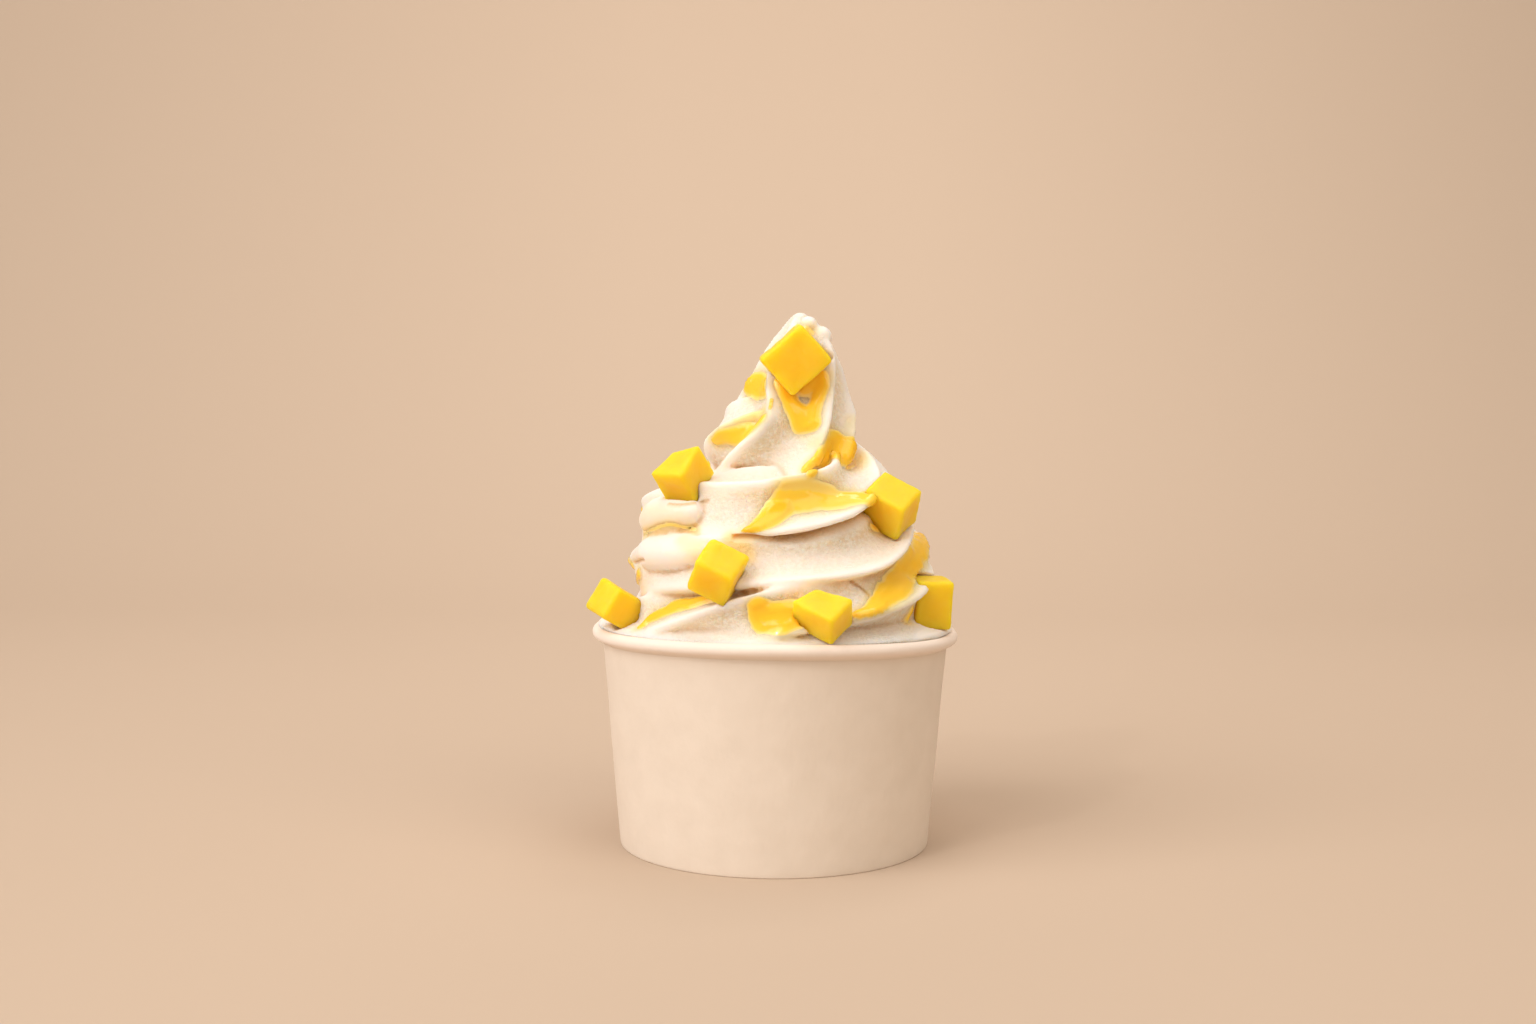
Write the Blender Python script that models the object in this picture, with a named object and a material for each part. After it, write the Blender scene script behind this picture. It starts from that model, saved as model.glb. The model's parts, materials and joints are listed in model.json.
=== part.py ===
"""Frozen yogurt piped as a tall ribbed swirl into a paper cup, with cubes of mango set in it.

Lengths are in metres, written as millimetres times MM. The origin is on the table under the cup's axis,
+Z points up and -Y is the front. Azimuths are degrees from +X towards +Y, so the front is at 270.

Pieces:
    paper_cup_wall        wall, rolled rim and turned-in foot, one piece of paper
    paper_cup_base        the raised base disc, held above the foot
    frozen_yogurt_swirl   the filling and the swirl, one solid
    mango_cube_NN         each cube of mango
"""

import math

import bmesh
import bpy
import numpy as np
from mathutils import Euler, Matrix, Vector

MM = 0.001
GAP = 0.3 * MM

# Paper cup
FOOT_RADIUS = 41.1 * MM
NECK_RADIUS = 45.6 * MM
NECK_HEIGHT = 56.1 * MM
PAPER = 0.6 * MM
FOOT_DEPTH = 5.2 * MM
FOOT_THICKNESS = 1.5 * MM
ROLL_RADIUS = 1.75 * MM
ROLL_CENTRE_RADIUS = 46.75 * MM
ROLL_CENTRE_HEIGHT = 57.95 * MM
ROLL_START = -115.0
ROLL_END = 180.0
ROLL_STEPS = 8
RIM_DIP = 2.0 * MM
RIM_TILT = 0.5 * MM
BASE_THICKNESS = 0.6 * MM
CUP_SIDES = 64

# Yogurt
LOBES = 6
FLUTE_DEPTH = 0.64
RIB_SOFTNESS = 6.0
ROPE_STEP = 4.0
PEAK_STEP = 1.2
ROPE_POINTS = 84
SWIRL_TOP = 140.5 * MM
VOXEL = 1.1 * MM
KEEP_FACES = 0.075
CORE_SIDES = 48
OPEN_RADIUS = 62.0 * MM

# The rope's course. Each row: degrees turned, coil radius, height, half width, half height, degrees
# the ribs have turned, the coil centre's shift to +X, and how deep the flutes are. Lengths in millimetres.
ROPE_COURSE = (
    (0, 31, 47, 14, 12, -215, 0, 1),
    (90, 31, 51, 14, 12, -160, 0, 1),
    (180, 31, 56, 14, 12, -100, 0, 1),
    (225, 31, 60, 14.3, 12, -58, 0, 1),
    (270, 31, 64.5, 14.5, 12, -18, 0, 1),
    (315, 30.7, 66.3, 14.5, 12.2, 5, 0, 1),
    (360, 29, 68, 14.5, 12.5, 35, 0, 1),
    (450, 28, 71, 14.5, 13, 85, 0, 1),
    (540, 25, 73, 14, 13, 130, 0, 0.55),
    (585, 26.5, 75, 14, 13, 160, 0, 0.6),
    (630, 25, 74.5, 16, 13.5, 178, 0, 1.15),
    (675, 25.5, 76, 15.8, 13.5, 187, 0, 1.15),
    (720, 27, 78, 14, 13.5, 238, 0, 1),
    (810, 25, 81, 14, 13.5, 295, 0, 1),
    (900, 22.5, 85, 15.2, 13, 330, 0, 0.5),
    (945, 22, 88, 13, 12.5, 344, 0, 0.55),
    (990, 20, 88.3, 16, 14, 350, 0, 1.15),
    (1035, 19, 90, 15.6, 14, 372, 0, 1.15),
    (1080, 17, 94, 13.5, 13.5, 432, 0.5, 1),
    (1170, 13, 99.5, 13, 13, 486, 2, 1),
    (1215, 10.5, 103, 12.5, 12.5, 512, 2, 0.8),
    (1260, 8.5, 106.5, 12, 12, 540, 2, 0.75),
    (1305, 5.5, 109, 10.5, 10.5, 565, 2.2, 0.8),
    (1350, 3, 110, 8, 8, 585, 2.5, 1),
    (1395, 2, 111, 6, 6, 600, 3, 1),
    (1420, 2, 111, 3, 3, 610, 3, 1),
)
# The peak pulled off the nozzle. Each row: height, the centre's x, radius, and the azimuths of four ribs
PEAK_COURSE = (
    (86, 1, 15, 150, 196, 258, 292),
    (92, 1.2, 19, 152, 206, 268, 300),
    (97, 1.5, 21, 154, 215, 279, 309),
    (101, 1.8, 21.2, 156, 221, 288, 318),
    (105, 2.1, 20.4, 158, 230, 296, 328),
    (110, 2.8, 18.8, 160, 245, 303, 343),
    (114, 3.7, 17.3, 162, 251, 307, 356),
    (118, 4.6, 15.4, 165, 246, 310, 365),
    (122.5, 5.6, 13.3, 170, 232, 315, 372),
    (128, 6.3, 11.0, 172, 226, 325, 380),
    (133, 6.7, 8.3, 176, 228, 333, 388),
    (137, 6.4, 4.8, 180, 234, 338, 392),
    (139.5, 6.2, 2.3, 182, 238, 342, 396),
    (140.5, 6.2, 0.8, 184, 240, 344, 400),
)
# Soft noses where the rope folds. Each row: azimuth, distance from the axis, height, then the half sizes
# outwards, round the axis and upwards, and how many degrees the nose tilts along the azimuth
NOSES = (
    (214, 32, 88.3, 6.5, 12.5, 5.8, 10),
    (221, 33.6, 79.4, 7.5, 14, 5.8, 6),
    (355, 11, 134.3, 3.6, 3, 3.2, 0),
    (350, 8.5, 137.4, 2.4, 2.4, 2.2, 0),
)
NOSE_SIDES = 20

# The filling under the rope: radius and height in millimetres, bottom to top
CORE_OUTLINE = ((43.5, 4.5), (46.5, 58.5), (38, 62), (33, 74), (26, 86), (19, 96), (10, 106), (2, 112))

# Mango cubes. Each row: centre in mm, size in mm, turn in degrees about X, Y and Z
CUBES = (
    ((4.9, -10, 128.5), (12.8, 14, 12), (-88, 48, 4)),
    ((-23.8, -22, 99.7), (10, 10.9, 10.6), (136, -1, 147)),
    ((29.5, -16.5, 91.2), (11.7, 9.9, 11.5), (148, -25, 156)),
    ((-14.2, -38.9, 76.3), (10.5, 10.8, 10), (149, -25, 169)),
    ((-40.6, -17.5, 65), (8.8, 10.2, 10.9), (20, -58, 15)),
    ((11.6, -42.4, 67), (12, 9.4, 9.3), (146, -21, 150)),
    ((39.9, -13, 65.8), (10, 10, 12.8), (4, 2, 16)),
    ((8.5, 14.4, 117), (11.5, 12, 11), (40, 25, 10)),
    ((-11.2, 27.2, 98.4), (12, 11, 11.5), (20, -30, 50)),
    ((26, 30, 82), (11, 12.5, 11), (-25, 35, 20)),
    ((-28, 30, 75), (12, 10.5, 11.5), (35, 20, -25)),
    ((6.4, 41.2, 68.5), (11.5, 10.5, 12), (15, 25, 40)),
)
# Corners that the knife has taken off: cube number, corner, and share of the way to the middle
CHIPPED = {2: ((1, 1, -1), 0.3), 6: ((1, 1, -1), 0.28), 9: ((1, -1, 1), 0.2), 11: ((-1, 1, 1), 0.2)}
CUBE_ROUNDING = 0.5 * MM
# How far outwards a cube's seat stays open, and how much that way rises
PRESS_DEPTH = 9.0 * MM
PRESS_RISE = 0.3


def new_material(name, colour, roughness):
    """A plain Principled material."""
    material = bpy.data.materials.new(name)
    material.use_nodes = True
    shader = material.node_tree.nodes["Principled BSDF"]
    shader.inputs["Base Color"].default_value = (*colour, 1.0)
    shader.inputs["Roughness"].default_value = roughness
    shader.inputs["Metallic"].default_value = 0.0
    return material


def new_object(name, vertices, faces, material=None):
    """A mesh object from vertices and faces, linked to the scene and shaded smooth up to 40 degrees."""
    mesh = bpy.data.meshes.new(name)
    mesh.from_pydata([tuple(v) for v in vertices], [], faces)
    mesh.update()
    if material:
        mesh.materials.append(material)
    mesh.shade_smooth()
    mesh.set_sharp_from_angle(angle=math.radians(40))
    thing = bpy.data.objects.new(name, mesh)
    bpy.context.scene.collection.objects.link(thing)
    return thing


def hide_as_cutter(thing):
    """Marks an object as a cutter, which isn't part of the model."""
    thing.hide_render = True
    thing.display_type = "WIRE"


def grid_faces(rows, columns, wrap_rows=False):
    """Quads of a grid whose columns close into rings, and whose rows may close too."""
    faces = []
    for i in range(rows if wrap_rows else rows - 1):
        for j in range(columns):
            a = i * columns + j
            b = i * columns + (j + 1) % columns
            up = ((i + 1) % rows - i) * columns
            faces.append((a, b, b + up, a + up))
    return faces


def rim_drop(azimuth):
    """How far the rim hangs below its front: both sides dip a little, the right side most."""
    return RIM_DIP * np.cos(azimuth) ** 2 + RIM_TILT * np.cos(azimuth)


def turned(outline, sides):
    """Rings of points from an outline of (radius, height), following the rim's dip."""
    azimuth = np.arange(sides) * 2 * math.pi / sides
    rings = []
    for radius, height in outline:
        share = min(height / ROLL_CENTRE_HEIGHT, 1.0) ** 2
        z = height - share * rim_drop(azimuth)
        rings.append(np.stack([radius * np.cos(azimuth), radius * np.sin(azimuth), z], axis=1))
    return np.concatenate(rings)


def wall_radius(height):
    """Outer radius of the cup's straight wall at a height."""
    return FOOT_RADIUS + (NECK_RADIUS - FOOT_RADIUS) * height / NECK_HEIGHT


def roll_arc(radius, start, end, steps):
    """Points round the rolled rim's section, between two angles in degrees."""
    angles = np.radians(np.linspace(start, end, steps + 1))
    return [
        (ROLL_CENTRE_RADIUS + radius * math.cos(a), ROLL_CENTRE_HEIGHT + radius * math.sin(a)) for a in angles
    ]


def build_wall(material):
    """The paper wall: straight side, rolled rim, and the foot turned in and up behind it."""
    outline = [(FOOT_RADIUS, 0.0), (wall_radius(NECK_HEIGHT / 2), NECK_HEIGHT / 2), (NECK_RADIUS, NECK_HEIGHT)]
    outline += roll_arc(ROLL_RADIUS, ROLL_START, ROLL_END, ROLL_STEPS)
    outline += [
        (wall_radius(NECK_HEIGHT / 2) - PAPER, NECK_HEIGHT / 2),
        (wall_radius(FOOT_DEPTH) - PAPER, FOOT_DEPTH),
        (wall_radius(FOOT_DEPTH) - FOOT_THICKNESS, FOOT_DEPTH),
        (FOOT_RADIUS - FOOT_THICKNESS, 0.0),
    ]
    return new_object(
        "paper_cup_wall", turned(outline, CUP_SIDES), grid_faces(len(outline), CUP_SIDES, wrap_rows=True), material
    )


def closed_turning(outline, sides):
    """Vertices and faces of a turned solid, closed by a flat cap at each end of its outline."""
    vertices = turned(outline, sides)
    faces = grid_faces(len(outline), sides)
    last = (len(outline) - 1) * sides
    faces.append(tuple(reversed(range(sides))))
    faces.append(tuple(range(last, last + sides)))
    return vertices, faces


def build_base(material):
    """The base disc, raised above the foot."""
    low = FOOT_DEPTH + GAP
    high = low + BASE_THICKNESS
    outline = [(wall_radius(low) - PAPER - GAP, low), (wall_radius(high) - PAPER - GAP, high)]
    return new_object("paper_cup_base", *closed_turning(outline, CUP_SIDES), material)


def smooth_rows(table, step):
    """Reads a table at even steps of its first column, on smooth curves through its rows."""
    rows = np.array(table, dtype=float)
    key, values = rows[:, 0], rows[:, 1:]
    gaps = np.diff(key)[:, None]
    slopes = np.diff(values, axis=0) / gaps
    tangents = np.empty_like(values)
    tangents[0], tangents[-1] = slopes[0], slopes[-1]
    tangents[1:-1] = (slopes[:-1] * gaps[1:] + slopes[1:] * gaps[:-1]) / (gaps[:-1] + gaps[1:])
    at = np.arange(key[0], key[-1] + step / 2, step)
    at[-1] = min(at[-1], key[-1])
    i = np.clip(np.searchsorted(key, at, side="right") - 1, 0, len(key) - 2)
    width = gaps[i]
    t = (at - key[i])[:, None] / width
    smooth = (
        (2 * t**3 - 3 * t**2 + 1) * values[i]
        + (t**3 - 2 * t**2 + t) * width * tangents[i]
        + (3 * t**2 - 2 * t**3) * values[i + 1]
        + (t**3 - t**2) * width * tangents[i + 1]
    )
    return np.column_stack([at, smooth])


def rib_profile(angle):
    """The star nozzle's section as a radius factor: concave flutes between soft ribs, 1 at a rib."""
    half = math.pi / LOBES
    reach = (1 - FLUTE_DEPTH**2) / (2 * math.cos(half) - 2 * FLUTE_DEPTH)
    flute = reach - FLUTE_DEPTH

    def sharp(a):
        off = np.mod(a, 2 * half) - half
        return reach * np.cos(off) - np.sqrt(np.maximum(flute**2 - (reach * np.sin(off)) ** 2, 0.0))

    def soft(a):
        offsets = np.radians(np.linspace(-RIB_SOFTNESS, RIB_SOFTNESS, 7))
        return sum(sharp(a + offset) for offset in offsets) / len(offsets)

    return soft(angle) / soft(np.zeros(1))


def rope_rings():
    """Rings of points of the piped rope, one ring for each step of its course."""
    rows = smooth_rows(ROPE_COURSE, ROPE_STEP)
    turn = np.radians(rows[:, 0])
    coil, height, half_width, half_height = (rows[:, 1:5] * MM).T
    ribs, shift, flutes = np.radians(rows[:, 5]), rows[:, 6] * MM, rows[:, 7]
    centre = np.stack([shift + coil * np.cos(turn), coil * np.sin(turn), height], axis=1)
    along = np.gradient(centre, axis=0)
    along /= np.linalg.norm(along, axis=1)[:, None]
    outward = np.stack([np.cos(turn), np.sin(turn), np.zeros_like(turn)], axis=1)
    outward -= np.sum(outward * along, axis=1)[:, None] * along
    outward /= np.linalg.norm(outward, axis=1)[:, None]
    upward = np.cross(outward, along)
    around = np.linspace(2 * math.pi, 0, ROPE_POINTS, endpoint=False)
    factor = 1 - flutes[:, None] * (1 - rib_profile(around[None, :] - ribs[:, None]))
    across = (half_width[:, None] * factor * np.cos(around))[:, :, None] * outward[:, None, :]
    rising = (half_height[:, None] * factor * np.sin(around))[:, :, None] * upward[:, None, :]
    return centre[:, None, :] + across + rising


def peak_rings():
    """Rings of points of the peak, a twisted star column whose front ribs follow PEAK_COURSE."""
    around = np.arange(ROPE_POINTS) * 360.0 / ROPE_POINTS
    rings = []
    for height, shift, radius, *keyed in smooth_rows(PEAK_COURSE, PEAK_STEP):
        spare = (keyed[0] + 360 - keyed[-1]) / 3
        ribs = np.array([*keyed, keyed[-1] + spare, keyed[-1] + 2 * spare, keyed[0] + 360])
        angle = np.where(around < ribs[0], around + 360, around)
        share = np.interp(angle, ribs, np.arange(len(ribs)))
        between = np.diff(ribs)[np.clip(share.astype(int), 0, len(ribs) - 2)]
        hollow = (1 - rib_profile(share * 2 * math.pi / LOBES)) * np.clip(between * LOBES / 360, 0.3, 1.15)
        reach = radius * MM * (1 - hollow)
        x = shift * MM + reach * np.cos(np.radians(around))
        y = reach * np.sin(np.radians(around))
        rings.append(np.stack([x, y, np.full_like(x, height * MM)], axis=1))
    return np.array(rings)


def nose_rings(azimuth, distance, height, *half_sizes, tilt):
    """Rings of points of one soft nose, an ellipsoid that faces outwards at its azimuth."""
    facing = Matrix.Rotation(math.radians(azimuth), 3, "Z") @ Matrix.Rotation(math.radians(tilt), 3, "X")
    centre = np.array([*(facing @ Vector((distance, 0, 0))).xy, height])
    around = np.arange(NOSE_SIDES) * 2 * math.pi / NOSE_SIDES
    rings = []
    for latitude in np.radians(np.linspace(-88, 88, NOSE_SIDES // 2)):
        ring = np.stack([np.cos(around), np.sin(around), np.full_like(around, math.tan(latitude))], axis=1)
        ring *= math.cos(latitude) * np.array(half_sizes)
        rings.append(centre + ring @ np.array(facing).T)
    return np.array(rings) * MM


def build_clearance():
    """The space the yogurt may fill: the cup's inside, and everything above and within the rim."""
    floor = FOOT_DEPTH + BASE_THICKNESS + 2 * GAP
    outline = [(wall_radius(floor) - PAPER - GAP, floor)]
    outline += [(wall_radius(NECK_HEIGHT / 2) - PAPER - GAP, NECK_HEIGHT / 2)]
    outline += roll_arc(ROLL_RADIUS + GAP, 180.0, 80.0, 4)
    outline += [(OPEN_RADIUS, ROLL_CENTRE_HEIGHT + ROLL_RADIUS + 2 * MM), (OPEN_RADIUS, SWIRL_TOP + 10 * MM)]
    clearance = new_object("yogurt_clearance", *closed_turning(outline, CUP_SIDES))
    hide_as_cutter(clearance)
    return clearance


def box_corners(number, grow=0.0):
    """The eight corners of a mango cube at the origin, grown on every side by a length."""
    half = [edge * MM / 2 + grow for edge in CUBES[number - 1][1]]
    return [Vector((x * half[0], y * half[1], z * half[2])) for x in (-1, 1) for y in (-1, 1) for z in (-1, 1)]


def cube_frame(number):
    """The matrix that puts a mango cube at its place and turn."""
    centre, _, turn = CUBES[number - 1]
    spin = Euler([math.radians(angle) for angle in turn]).to_matrix().to_4x4()
    return Matrix.Translation([length * MM for length in centre]) @ spin


def build_cube(number, material):
    """A mango cube, with its chipped corner if it has one."""
    chipped, share = CHIPPED.get(number, (None, 0.0))
    corners = box_corners(number)
    if chipped:
        index = [corner > 0 for corner in chipped]
        corners[index[0] * 4 + index[1] * 2 + index[2]] *= 1 - share
    faces = [(0, 1, 3, 2), (4, 6, 7, 5), (0, 4, 5, 1), (2, 3, 7, 6), (0, 2, 6, 4), (1, 5, 7, 3)]
    cube = new_object(f"mango_cube_{number:02d}", corners, faces, material)
    cube.matrix_world = cube_frame(number)
    rounding = cube.modifiers.new("rounding", "BEVEL")
    rounding.width = CUBE_ROUNDING
    rounding.segments = 1


def build_seat(number):
    """The cutter for a cube's seat: the cube's box, drawn outwards along the way that the cube was pressed in."""
    x, y, _ = CUBES[number - 1][0]
    press = Vector((x, y, PRESS_RISE * math.hypot(x, y))).normalized() * PRESS_DEPTH
    at_rest = [cube_frame(number) @ corner for corner in box_corners(number, grow=GAP)]
    hull = bmesh.new()
    for corner in at_rest:
        hull.verts.new(corner)
        hull.verts.new(corner + press)
    inner = bmesh.ops.convex_hull(hull, input=hull.verts)["geom_interior"]
    bmesh.ops.delete(hull, geom=inner, context="VERTS")
    bmesh.ops.recalc_face_normals(hull, faces=hull.faces)
    seat = new_object(f"mango_seat_{number:02d}", [], [])
    hull.to_mesh(seat.data)
    hull.free()
    hide_as_cutter(seat)
    return seat


def build_yogurt(material, seats):
    """The rope, the peak and the filling fused into one solid, trimmed to the cup and seated round the cubes."""
    azimuth = np.arange(CORE_SIDES) * 2 * math.pi / CORE_SIDES
    core_rings = np.array(
        [
            np.stack([r * MM * np.cos(azimuth), r * MM * np.sin(azimuth), np.full(CORE_SIDES, z * MM)], axis=1)
            for r, z in CORE_OUTLINE
        ]
    )
    vertices = []
    faces = []
    noses = [nose_rings(*row[:-1], tilt=row[-1]) for row in NOSES]
    for rings in (rope_rings(), peak_rings(), core_rings, *noses):
        rows, columns = rings.shape[:2]
        stack = grid_faces(rows, columns)
        stack.append(tuple(reversed(range(columns))))
        stack.append(tuple(range((rows - 1) * columns, rows * columns)))
        faces += [tuple(v + len(vertices) for v in face) for face in stack]
        vertices += rings.reshape(-1, 3).tolist()
    swirl = new_object("frozen_yogurt_swirl", vertices, faces, material)

    fuse = swirl.modifiers.new("fuse", "REMESH")
    fuse.mode = "VOXEL"
    fuse.voxel_size = VOXEL
    fuse.use_smooth_shade = True
    soften = swirl.modifiers.new("soften", "SMOOTH")
    soften.factor = 0.5
    soften.iterations = 2
    thin = swirl.modifiers.new("thin", "DECIMATE")
    thin.ratio = KEEP_FACES
    trim = swirl.modifiers.new("trim_to_cup", "BOOLEAN")
    trim.operation = "INTERSECT"
    trim.solver = "EXACT"
    trim.object = build_clearance()
    for cutter in seats:
        seat = swirl.modifiers.new(cutter.name, "BOOLEAN")
        seat.operation = "DIFFERENCE"
        seat.solver = "EXACT"
        seat.object = cutter
    return swirl


def main():
    """Clears the scene and builds the cup, the cubes and the yogurt."""
    for thing in list(bpy.data.objects):
        bpy.data.objects.remove(thing, do_unlink=True)
    paper = new_material("paper", (0.93, 0.80, 0.66), 0.6)
    mango = new_material("mango", (0.95, 0.55, 0.03), 0.3)
    yogurt = new_material("yogurt", (0.96, 0.90, 0.78), 0.45)
    build_wall(paper)
    build_base(paper)
    numbers = range(1, len(CUBES) + 1)
    for number in numbers:
        build_cube(number, mango)
    build_yogurt(yogurt, [build_seat(number) for number in numbers])


main()
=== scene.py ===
"""Looks of a frozen yogurt cup: a ribbed swirl in a paper cup, with mango cubes and mango sauce.

Tables are in millimetres and everything built from them is in metres, in the frame's own space: the cup's
axis is Z, the table is z = 0 and the front is -Y. Azimuths run in degrees from +X towards +Y.
"""

import json
import logging
import math
from dataclasses import dataclass
from enum import Enum, IntEnum
from itertools import product

import bmesh
import bpy
import numpy as np
from mathutils import Matrix, Vector
from mathutils.bvhtree import BVHTree
from mathutils.kdtree import KDTree

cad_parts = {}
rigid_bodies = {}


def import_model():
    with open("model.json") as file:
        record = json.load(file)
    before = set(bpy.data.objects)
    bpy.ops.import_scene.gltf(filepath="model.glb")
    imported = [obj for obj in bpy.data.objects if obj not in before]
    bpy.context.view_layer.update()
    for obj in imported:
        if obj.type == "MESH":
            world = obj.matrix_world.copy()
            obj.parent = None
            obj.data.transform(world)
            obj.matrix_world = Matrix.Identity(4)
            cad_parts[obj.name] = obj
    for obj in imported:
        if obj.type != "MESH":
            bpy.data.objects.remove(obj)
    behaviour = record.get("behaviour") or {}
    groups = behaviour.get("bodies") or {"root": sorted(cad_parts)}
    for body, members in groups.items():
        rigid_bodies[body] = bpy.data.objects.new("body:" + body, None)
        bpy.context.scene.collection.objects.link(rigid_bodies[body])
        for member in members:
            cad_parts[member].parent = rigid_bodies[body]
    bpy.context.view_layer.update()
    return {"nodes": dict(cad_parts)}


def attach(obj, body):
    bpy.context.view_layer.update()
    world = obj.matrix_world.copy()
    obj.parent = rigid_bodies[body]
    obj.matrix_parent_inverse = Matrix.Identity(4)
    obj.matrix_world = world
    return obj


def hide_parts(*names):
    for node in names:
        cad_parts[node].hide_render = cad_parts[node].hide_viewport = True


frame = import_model()

MM = 0.001
BODY = "root"
# A stroke is sampled at this share of the way between two of its rows, by rays that start this far out.
STROKE_STEP = 0.05
STROKE_START = 75 * MM
# Edges that bend more than this stay sharp.
SHARP_ANGLE = math.radians(40)
FULL_TURN = 360.0
LOG = logging.getLogger("frozen_yogurt_cup")

Colour = tuple[float, float, float]
Place = tuple[float, float, float]
Span = tuple[float, float]
Rows = tuple[tuple[float, ...], ...]

BLACK: Colour = (0.0, 0.0, 0.0)
WHITE: Colour = (1.0, 1.0, 1.0)


class Slot(Enum):
    """The record's material slots."""

    PAPER = "paper"
    YOGURT = "yogurt"
    MANGO = "mango"
    SAUCE = "sauce"


class Pattern(IntEnum):
    """Seeds of the random lumps, one for each use. The cubes add their own number to theirs."""

    BOARD_WAVE = 3
    RIM_CURL = 4
    GRAIN_PATCHES = 11
    FINE_ICE = 12
    COARSE_ICE = 13
    SOFT_LUMPS = 14
    CUBE_WAVE = 20
    CUBE_MARKS = 40
    SAUCE_EDGE = 61


# ---------------------------------------------------------------------------------------------------------
# Mesh helpers
# ---------------------------------------------------------------------------------------------------------


def deselect_everything() -> None:
    """Leaves edit mode and deselects every object."""
    if bpy.context.object and bpy.context.object.mode != "OBJECT":
        bpy.ops.object.mode_set(mode="OBJECT")
    for thing in bpy.context.view_layer.objects:
        thing.select_set(False)


def take(thing: bpy.types.Object) -> None:
    """Makes one object the only selected one, and active.

    Args:
        thing: The object.
    """
    deselect_everything()
    thing.select_set(True)
    bpy.context.view_layer.objects.active = thing


def edit_all(thing: bpy.types.Object) -> None:
    """Opens an object in edit mode with all of its mesh selected.

    Args:
        thing: The object.
    """
    take(thing)
    bpy.ops.object.mode_set(mode="EDIT")
    bpy.ops.mesh.select_all(action="SELECT")


def face_outwards(thing: bpy.types.Object) -> None:
    """Turns a closed mesh's faces outwards and shades it smooth up to its sharp edges.

    Args:
        thing: The object.
    """
    edit_all(thing)
    bpy.ops.mesh.normals_make_consistent(inside=False)
    bpy.ops.object.mode_set(mode="OBJECT")
    bpy.ops.object.shade_smooth_by_angle(angle=SHARP_ANGLE)


def shade_smooth(thing: bpy.types.Object) -> None:
    """Shades all of an object's faces smooth."""
    thing.data.polygons.foreach_set("use_smooth", [True] * len(thing.data.polygons))


def apply_modifier(thing: bpy.types.Object, kind: str, **settings: object) -> None:
    """Adds a modifier to an object and applies it.

    Args:
        thing: The object to change.
        kind: The modifier's type, such as REMESH.
        settings: Values for the modifier's own properties.
    """
    take(thing)
    modifier = thing.modifiers.new(kind.lower(), kind)
    for name, value in settings.items():
        setattr(modifier, name, value)
    bpy.ops.object.modifier_apply(modifier=modifier.name)


def new_mesh_object(name: str, vertices: np.ndarray, faces: list[tuple[int, ...]]) -> bpy.types.Object:
    """Makes a linked mesh object from points in metres.

    Args:
        name: The object's name.
        vertices: Points, one row each.
        faces: Vertex numbers of each face.

    Returns:
        The object, at the origin.
    """
    mesh = bpy.data.meshes.new(name)
    mesh.from_pydata(vertices.tolist(), [], faces)
    mesh.update()
    thing = bpy.data.objects.new(name, mesh)
    bpy.context.scene.collection.objects.link(thing)
    return thing


def read_rows(items: bpy.types.bpy_prop_collection, name: str, width: int, kind: type) -> np.ndarray:
    """Reads one property of all the items of a mesh.

    Args:
        items: The mesh's vertices, normals or edges.
        name: The property.
        width: How many numbers it has.
        kind: The numbers' type.

    Returns:
        The property of each item as a row.
    """
    flat = np.empty(len(items) * width, kind)
    items.foreach_get(name, flat)
    return flat.reshape(-1, width)


def points_of(thing: bpy.types.Object) -> np.ndarray:
    """An object's vertices as rows of x, y, z."""
    return read_rows(thing.data.vertices, "co", 3, np.float32).astype(float)


def normals_of(thing: bpy.types.Object) -> np.ndarray:
    """An object's vertex normals as rows of x, y, z."""
    return read_rows(thing.data.vertex_normals, "vector", 3, np.float32).astype(float)


def edges_of(thing: bpy.types.Object) -> np.ndarray:
    """An object's edges as rows of two vertex numbers."""
    return read_rows(thing.data.edges, "vertices", 2, np.int32)


def faces_of(thing: bpy.types.Object) -> list[tuple[int, ...]]:
    """The vertex numbers of each of an object's faces."""
    return [tuple(polygon.vertices) for polygon in thing.data.polygons]


def move_points(thing: bpy.types.Object, points: np.ndarray) -> None:
    """Puts an object's vertices at new places."""
    thing.data.vertices.foreach_set("co", points.astype(np.float32).ravel())
    thing.data.update()


def store(thing: bpy.types.Object, name: str, values: np.ndarray) -> None:
    """Keeps one number for each vertex as an attribute that materials can read."""
    layer = thing.data.attributes.new(name, "FLOAT", "POINT")
    layer.data.foreach_set("value", values.astype(np.float32))


def unit_rows(rows: np.ndarray) -> np.ndarray:
    """Rows of the same directions with a length of 1."""
    return rows / np.linalg.norm(rows, axis=1)[:, None]


def relaxed(values: np.ndarray, edges: np.ndarray, rounds: int) -> np.ndarray:
    """Averages each vertex's values with its neighbours', a few times over.

    Args:
        values: One row for each vertex.
        edges: Pairs of neighbouring vertices.
        rounds: How many times to average.

    Returns:
        The smoothed rows.
    """
    table = values.reshape(len(values), -1).copy()
    count = np.bincount(edges.ravel(), minlength=len(table))[:, None]
    for _ in range(rounds):
        total = np.empty_like(table)
        for column in range(table.shape[1]):
            there = np.bincount(edges[:, 0], table[edges[:, 1], column], len(table))
            back = np.bincount(edges[:, 1], table[edges[:, 0], column], len(table))
            total[:, column] = there + back
        table = 0.5 * table + 0.5 * total / np.maximum(count, 1)
    return table.reshape(values.shape)


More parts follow.
